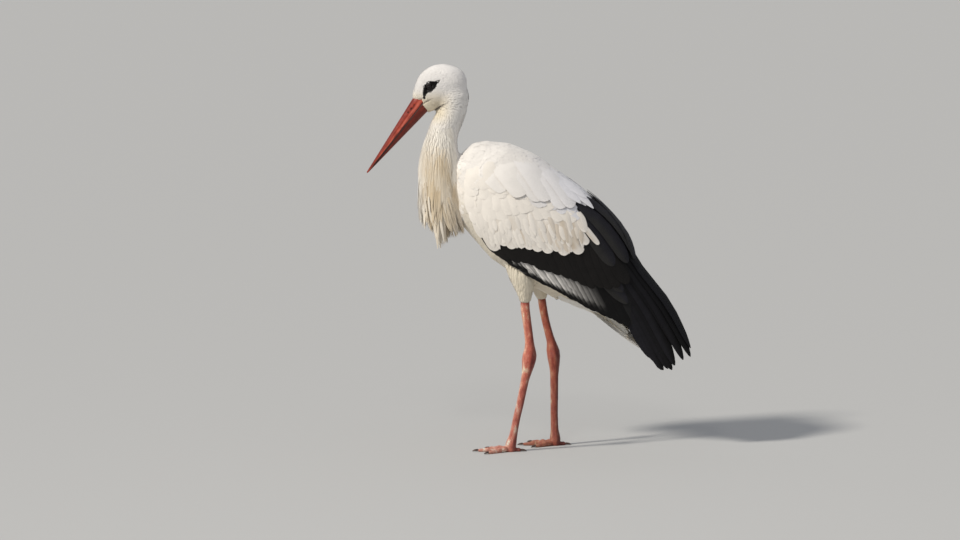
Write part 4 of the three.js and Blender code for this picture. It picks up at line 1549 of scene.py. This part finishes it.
def ruff_tone(starts, lock_shade, rows):
    """Tawny locks with white ones between them: white at the front edge and at the top of the rear."""
    x, _, z = starts.T
    tawny = step(0.675, 0.615, z) * step(-0.230, -0.210, x)
    tawny = tawny * (1 - step(-0.185, -0.160, x) * step(0.575, 0.60, z))
    tawny = tawny * (0.42 + 0.68 * lock_shade)
    dark = 0.55 * step(0.6, 1.0, lock_shade) * step(0.64, 0.58, z)
    count = len(starts)
    # Each lance is darker and more tawny at its root and paler at its tip: partly its own colour, partly
    # painted shade at the roots.
    root_tone = mixed(mixed(RUFF_WHITE, RUFF_TAN, tawny), STAIN * 0.55, dark * tawny)
    root_tone = root_tone * jitter(count, 0.05)[:, None]
    tip_tone = mixed(mixed(RUFF_WHITE, RUFF_TAN, tawny * 0.7), STAIN * 0.7, dark * tawny * 0.8)
    tip_tone = tip_tone * jitter(count, 0.04)[:, None]
    shares = step(0.1, 0.95, rows)[None, :, None, None]
    return root_tone[:, None, None, :] * (1 - shares) + tip_tone[:, None, None, :] * shares


def locks(surface, hem):
    """Roots and tips of the hanging locks: several lances share each tip."""
    roots, tips = [], []
    for x, z, strands in hem:
        reach = math.sqrt(max(0.0, 1 - ((x + 0.181) / 0.050) ** 2))
        for side in (-1, 1):
            for _ in range(int(strands)):
                y = side * 0.040 * reach * rng.uniform(0.2, 1.0)
                tip = np.array([x + rng.uniform(-0.003, 0.003), y, z + 0.024 * rng.random() ** 2])
                for _ in range(6):
                    away = np.array([rng.uniform(-0.009, 0.006) - 0.005, rng.uniform(-0.006, 0.006),
                                     rng.uniform(0.045, 0.08)])
                    start = tip + away
                    start[0] = max(start[0], -0.228)
                    roots.append(start)
                    tips.append(tip + rng.normal(0, 0.0022, 3) + np.array([0, 0, abs(rng.normal(0, 0.006))]))
    roots, tips = np.array(roots), np.array(tips)
    place, normal = surface.settle(roots)
    depth = np.sum((roots - place) * normal, axis=1)
    inner = depth < 0.0015
    roots[inner] = place[inner] + normal[inner] * 0.0015
    return roots, tips


def outward(points):
    """Level directions away from the axis of the lower neck."""
    way = points - np.array([-0.178, 0, 0])
    way[..., 2] = 0
    return unit(way)


def hang(roots, tips, rows):
    """Lines straight from the roots to the tips, a little bowed outwards."""
    shares = np.array(rows)
    lines = roots[:, None] + (tips - roots)[:, None] * shares[None, :, None]
    ups = outward(lines.copy())
    lines = lines + ups * (0.002 * np.sin(math.pi * shares))[None, :, None]
    return lines, ups


def drape(surface, roots, way, lengths, rows):
    """Lines that fall from the roots, and rest on the skin where they meet it."""
    point, _ = surface.settle(roots)
    before, lines = 0.0, []
    for share in rows:
        point = point + way * (lengths * (share - before))[:, None]
        before = share
        place, normal = surface.settle(point)
        high = 0.0006 + (0.0016 + 0.0022 * step(0.69, 0.64, roots[:, 2])) * step(0.0, 0.4, share)
        gap = np.sum((point - place) * normal, axis=1)
        near = gap < high
        point[near] = place[near] + normal[near] * high[near, None]
        lines.append(point.copy())
    lines = np.stack(lines, 1)
    return lines, outward(lines.copy())


# ---------- Tail ----------

UNDERTAIL_WHITE = np.array([0.80, 0.77, 0.70])
TAIL_WHITE = np.array([0.86, 0.83, 0.78])
TAIL_PAIRS = 6
# The undertail coverts' roots and tips in the picture, and the farthest that they lie from the middle.
UNDERTAIL_COUNT = 10
UNDERTAIL_ROOTS = [(548, 291), (572, 304), (600, 317)]
UNDERTAIL_TIPS = [(584, 313), (602, 322), (619, 332), (632, 342), (639, 347)]
UNDERTAIL_HALF_WIDTH = 0.022


def make_undertail(surface, looks):
    """The long coverts under the tail, which show below the folded wing."""
    roots = seen(surface, along(UNDERTAIL_ROOTS, UNDERTAIL_COUNT))
    tips = seen(surface, along(UNDERTAIL_TIPS, UNDERTAIL_COUNT))
    for places in (roots, tips):
        places[:, 1] = np.maximum(places[:, 1], -UNDERTAIL_HALF_WIDTH)
    row_of("undertail_coverts", surface, roots, tips, 0.018, 0.0046, looks["white"], "plumage_white",
           UNDERTAIL_WHITE, tip=FINGER_TIP, bow=0.0, tilt=0.05, rise=0.0008, sink=0.004, stray=0.0008)


def make_tail(looks):
    """Six feathers on each side of the middle one's line, as a shallow roof."""
    rows, profile = BROAD_TIP
    shares = np.array(rows)
    roots, tips = [], []
    for side in (-1, 1):
        for i in range(TAIL_PAIRS):
            roots.append((112, side * (3 + 2.4 * i), 321 - 1.4 * i))
            tips.append((241 - 1.2 * i, side * (3 + 2.8 * i), 224 - 1.2 * i))
    roots, tips = np.array(roots) * MM, np.array(tips) * MM
    lines = roots[:, None] + (tips - roots)[:, None] * shares[None, :, None]
    slope = roots[:, 1] * 30
    ups = unit(np.stack([0 * slope + 0.6, slope, 0 * slope + 0.8], 1))
    ups = np.repeat(ups[:, None], len(rows), axis=1)
    widths = np.full(len(roots), 0.024)[:, None] * np.array(profile)[None] / 2
    obj = vanes("tail_feathers", lines, ups, widths, TAIL_WHITE, RICH, 0.1, 0.0005)
    dressed(obj, looks["white"])
    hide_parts("tail")


# ---------- Bill ----------

BILL_DEPTH = 0.041
BILL_WIDTH = 0.027
GAPE_DROP = 0.0015
BILL_START = -0.018
NOSTRIL = (0.006, 0.029, 0.0115)  # from, to, height above the gape
BILL_RED = np.array([0.41, 0.056, 0.030])
BILL_DARK = np.array([0.135, 0.015, 0.008])
# Painted highlight: the pale band along the upper half of the bill.
BILL_HIGHLIGHT = np.array([0.66, 0.17, 0.11])
# Painted shade: the dark inside of the nostril's slit.
NOSTRIL_SHADE = np.array([0.012, 0.005, 0.004])
BILL_RINGS, BILL_ARC, BILL_FLAT = 150, 30, 6  # rings along a half, and points round it and across its flat
SMALLEST_HALF = 1e-6


def bill_share(distance):
    """The bill's size at a distance from its base, as a share of the base's."""
    left = max(0.0, 1 - max(distance, 0) / BILL_LENGTH)
    share = 0.07 + 0.93 * left
    share *= 1 - step(0.985, 1.0, distance / BILL_LENGTH) * 0.75
    if distance < 0:
        share *= 1 - 0.02 * distance / BILL_START
    return share


def nostril_share(distance):
    """How deep the nostril is at a distance from the bill's base: two pits in one slit."""
    start, end, _ = NOSTRIL
    inside = step(start - 0.002, start + 0.002, distance) * step(end + 0.002, end - 0.002, distance)
    return inside * (0.55 + 0.45 * math.cos(4 * math.pi * (distance - start) / (end - start)))


def bill_ring(distance, upper):
    """A ring of one half: across, up, height over the gape, half of the depth, and share of nostril."""
    sign = 1 if upper else -1
    share = bill_share(distance)
    half = BILL_DEPTH / 2 * share
    level = -GAPE_DROP * min(1.0, half / 0.004)
    wide = BILL_WIDTH / 2 * share ** 0.9
    angle = np.linspace(0, math.pi, BILL_ARC)
    y = wide * np.sign(np.cos(angle)) * np.abs(np.cos(angle)) ** (0.86 if upper else 0.8)
    z = level + sign * (half - level * sign) * np.sin(angle) ** 0.92
    y = np.concatenate([y, np.linspace(-1, 1, BILL_FLAT + 2)[1:-1] * wide * 0.96])
    z = np.concatenate([z, np.full(BILL_FLAT, level + sign * 0.0002)])
    slit = np.zeros(len(y))
    if upper:
        groove = np.exp(-(((z - level) / max(half, SMALLEST_HALF) - 0.42) / 0.10) ** 2)
        y = y - np.sign(y) * groove * 0.0011 * step(0.095, 0.03, distance) * step(-0.002, 0.012, distance)
        slit = np.exp(-((z - level - NOSTRIL[2]) / 0.0015) ** 2) * nostril_share(distance)
        y = y - np.sign(y) * slit * 0.0022
    return y, z, np.abs(z - level), half, slit


def bill_tone(distance, over_gape, half, slit, upper):
    """Red horn with a dark ridge and streaks, a painted highlight band on the upper half, and painted shade:
    in the nostril, over the lower half, and in the near-black line at the gape.
    """
    height = over_gape / max(half, SMALLEST_HALF)
    if upper:
        shade = mixed(np.tile(BILL_RED, (len(height), 1)), BILL_DARK * 1.4, step(0.62, 0.95, height) * 0.85)
        # Painted highlight: a pale band low on the upper half.
        shade = mixed(shade, BILL_HIGHLIGHT, np.exp(-((height - 0.30) / 0.14) ** 2) * 0.8)
        shade = mixed(shade, BILL_DARK, np.exp(-((height - 0.62) / 0.05) ** 2) * 0.7)
        # Painted shade in the nostril's slit.
        shade = mixed(shade, NOSTRIL_SHADE, np.minimum(1, slit * 1.4))
    else:
        # Painted shade: the lower half darker, most towards its underside, which faces away from the light.
        shade = mixed(np.tile(BILL_RED * 0.42, (len(height), 1)), BILL_DARK, step(0.1, 0.9, height) * 0.7)
    streaks = np.sin(19 * height + 3 * math.sin(41 * distance)) * np.sin(8 * height - 57 * distance + 1)
    shade = mixed(shade, BILL_DARK, np.clip(streaks, 0, 1) * 0.7)
    # Painted shade: a near-black line in the groove where the halves meet at the gape.
    gape_groove_shade = step(0.0027, 0.0010, over_gape) * step(-0.02, -0.012, distance) * step(0.175, 0.15, distance)
    shade = mixed(shade, BILL_DARK * 0.12, gape_groove_shade)
    shade[-BILL_FLAT:] = BILL_DARK * 0.6
    return shade


def bill_half(name, upper, looks):
    """One half of the bill: rings of points along it, flat where the halves meet."""
    points, tones = [], []
    for distance in np.linspace(BILL_START, BILL_LENGTH, BILL_RINGS):
        y, z, over_gape, half, slit = bill_ring(distance, upper)
        ring = BILL_BASE_CENTRE + BILL_WAY * distance + BILL_UP * z[:, None]
        ring[:, 1] += y
        points.append(ring)
        tones.append(bill_tone(distance, over_gape, half, slit, upper))
    order = slice(None) if upper else slice(None, None, -1)
    grid, shades = np.array(points)[:, order], np.array(tones)[:, order]
    obj = mesh_object(name, *closed_grid(grid))
    face_outward(obj)
    paint(obj, np.concatenate([shades.reshape(-1, 3), shades[0].mean(0)[None], shades[-1].mean(0)[None]]))
    dressed(obj, looks["bill"])
    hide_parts(name)


def make_bill(looks):
    bill_half("bill_upper", True, looks)
    bill_half("bill_lower", False, looks)


# ---------- Eyes, lids and claws ----------

PUPIL = 0.42  # radians from the eye's axis
IRIS = 0.80  # the iris's edge, in radians from the axis
CORNEA = 0.0010  # how far the clear front stands out of the ball
PUPIL_BLACK = np.array([0.002, 0.0015, 0.0015])
IRIS_BROWN = np.array([0.011, 0.0055, 0.004])
RIM_BLACK = np.array([0.004, 0.003, 0.003])


def ball(centre, radius, axis, bulge, rings=40, around_count=48):
    """A sphere of rings about an axis, with a bulging front: points, faces and angles from the axis."""
    axis = unit(np.asarray(axis, float))
    side = unit(np.cross(axis, [0.0, 0.0, 1.0]))
    up = np.cross(side, axis)
    angles = np.linspace(0.03, math.pi - 0.03, rings)
    turn = np.linspace(0, 2 * math.pi, around_count, endpoint=False)
    reach = radius + bulge * (1 - step(0.0, 0.85, angles))
    outward_turn = np.cos(turn)[:, None] * side + np.sin(turn)[:, None] * up
    grid = [centre + r * (axis * math.cos(a) + outward_turn * math.sin(a)) for a, r in zip(angles, reach)]
    points, faces = closed_grid(np.array(grid))
    return points, faces, np.concatenate([np.repeat(angles, around_count), [0, math.pi]])


def make_eyes(looks):
    """An eyeball on each side, with its lids."""
    for side, sign in SIDES.items():
        centre = np.array([EYE_CENTRE.x, sign * EYE_CENTRE.y, EYE_CENTRE.z])
        axis = unit(np.array([-0.22, sign * 1.0, -0.04]))
        points, faces, angle = ball(centre, EYE_RADIUS, axis, CORNEA)
        obj = mesh_object(f"eyeball_{side}", points, faces)
        face_outward(obj)
        pupil = np.tile(PUPIL_BLACK, (len(angle), 1))
        shade = mixed(pupil, IRIS_BROWN, step(PUPIL - 0.03, PUPIL + 0.03, angle))
        shade = mixed(shade, RIM_BLACK, step(IRIS - 0.05, IRIS + 0.05, angle))
        paint(obj, shade)
        dressed(obj, looks["eye"])
        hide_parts(f"eye_{side}")
        make_lids(side, centre, axis, looks)


LID_OPENING = (0.0070, 0.0060)  # half length and half height
LID_HEIGHT = 0.0008
LID_HALF_WIDTH = 0.0016
LID_SET_BACK = 0.001


def make_lids(side, centre, axis, looks):
    """A ring of bare skin on the eyeball round an almond opening."""
    across = unit(np.array([1.0, 0.0, 0.0]) - axis * axis[0])
    up = np.cross(axis, across)
    up = up * np.sign(up[2])
    long_way = across * math.cos(EYE_TURN) + up * math.sin(EYE_TURN)
    short_way = up * math.cos(EYE_TURN) - across * math.sin(EYE_TURN)
    turn = np.linspace(0, 2 * math.pi, 72, endpoint=False)
    section = np.linspace(0, 2 * math.pi, 12, endpoint=False)
    rings = []
    for t in turn:
        point = LID_OPENING[0] * math.cos(t) * long_way + LID_OPENING[1] * math.sin(t) * short_way
        point = point * (1 + 0.10 * math.cos(t) ** 6)
        flat = np.linalg.norm(point)
        high = math.sqrt(max(EYE_RADIUS**2 - flat**2, 0.0))
        on_ball = unit(point + axis * high)
        spot = centre + on_ball * EYE_RADIUS
        away = unit(point - on_ball * np.dot(point, on_ball))
        rings.append([spot + on_ball * LID_HEIGHT * math.cos(a)
                      + away * (LID_HALF_WIDTH * math.sin(a) + LID_SET_BACK) for a in section])
    grid = np.array(rings)
    count, ring = grid.shape[:2]
    index = np.arange(count * ring).reshape(count, ring)
    a, b = index, np.roll(index, -1, 0)
    faces = np.stack([a, b, np.roll(b, -1, 1), np.roll(a, -1, 1)], -1).reshape(-1, 4)
    obj = mesh_object(f"lids_{side}", grid.reshape(-1, 3), faces)
    face_outward(obj)
    dressed(obj, looks["face"])


def make_claws(frame, looks):
    names = [f"claw_{toe}_{side}" for toe in TOES for side in SIDES]
    arrays = joined([arrays_of(frame["nodes"][n]) for n in names])
    obj = remeshed("claws", *arrays, voxel=CLAW_VOXEL, smoothing=3)
    obj.data.shade_smooth()
    dressed(obj, looks["claw"])
    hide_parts(*names)


# ---------- Camera, floor and light ----------


def camera_back():
    """The way from the bird to the camera."""
    return Vector((0, -math.cos(CAMERA_ELEVATION), math.sin(CAMERA_ELEVATION)))


def make_camera():
    """A level long lens square to the bird's left side."""
    camera = bpy.data.cameras.new("camera")
    camera.sensor_width = SENSOR
    camera.lens = SENSOR * CAMERA_DISTANCE / FRAME_WIDTH
    camera.clip_end = 60
    obj = bpy.data.objects.new("camera", camera)
    bpy.context.scene.collection.objects.link(obj)
    back = camera_back()
    obj.location = AIM + back * CAMERA_DISTANCE
    obj.rotation_euler = back.to_track_quat("Z", "Y").to_euler()
    bpy.context.scene.camera = obj


FLOOR = 30  # metres from the middle to the floor's edge


def make_stage():
    look = Look("floor", 0.9)
    look.shader.inputs["Base Color"].default_value = (0.52, 0.52, 0.51, 1)
    corners = [(-FLOOR, -FLOOR, 0), (FLOOR, -FLOOR, 0), (FLOOR, FLOOR, 0), (-FLOOR, FLOOR, 0)]
    floor = mesh_object("floor", corners, [(0, 1, 2, 3)], smooth=False)
    floor.data.materials.append(look.material)


def add_light(name, kind, place, target, energy, colour, **values):
    light = bpy.data.lights.new(name, kind)
    light.energy = energy
    light.color = colour
    for key, value in values.items():
        setattr(light, key, value)
    obj = bpy.data.objects.new(name, light)
    bpy.context.scene.collection.objects.link(obj)
    obj.location = place
    obj.rotation_euler = (Vector(place) - Vector(target)).to_track_quat("Z", "Y").to_euler()


def make_lights():
    """A high sun from ahead of the bird, a pale sky, and a small lamp that lights up the eye."""
    world = bpy.data.worlds.new("studio")
    world.use_nodes = True
    background = world.node_tree.nodes["Background"]
    background.inputs["Color"].default_value = (0.87, 0.90, 0.97, 1)
    background.inputs["Strength"].default_value = 0.43
    bpy.context.scene.world = world
    middle = (0, 0, 0.5)
    add_light("key", "SUN", (-2.7, -1.6, 3.2), middle, 2.65, (1.0, 0.95, 0.87), angle=math.radians(7))
    add_light("fill", "AREA", (-0.5, -2.4, 2.65), middle, 9, (1.0, 0.97, 0.93), shape="DISK", size=0.5)
    bpy.context.scene.view_settings.view_transform = "Standard"


def main():
    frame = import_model()
    make_camera()
    make_stage()
    make_lights()
    looks = make_looks()
    markings = Markings(frame)
    body = make_skin(frame)
    surface = Surface(*arrays_of(body))
    wing = Surface(*wing_body())
    skin = join_legs(body, frame, looks)
    paint_skin(skin, markings)
    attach(skin, "root")
    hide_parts(*FLESH)
    make_body_coats(surface, markings, looks)
    make_ruff(surface, looks)
    make_wings(wing, looks)
    make_tail(looks)
    make_undertail(surface, looks)
    make_bill(looks)
    make_eyes(looks)
    make_claws(frame, looks)


main()
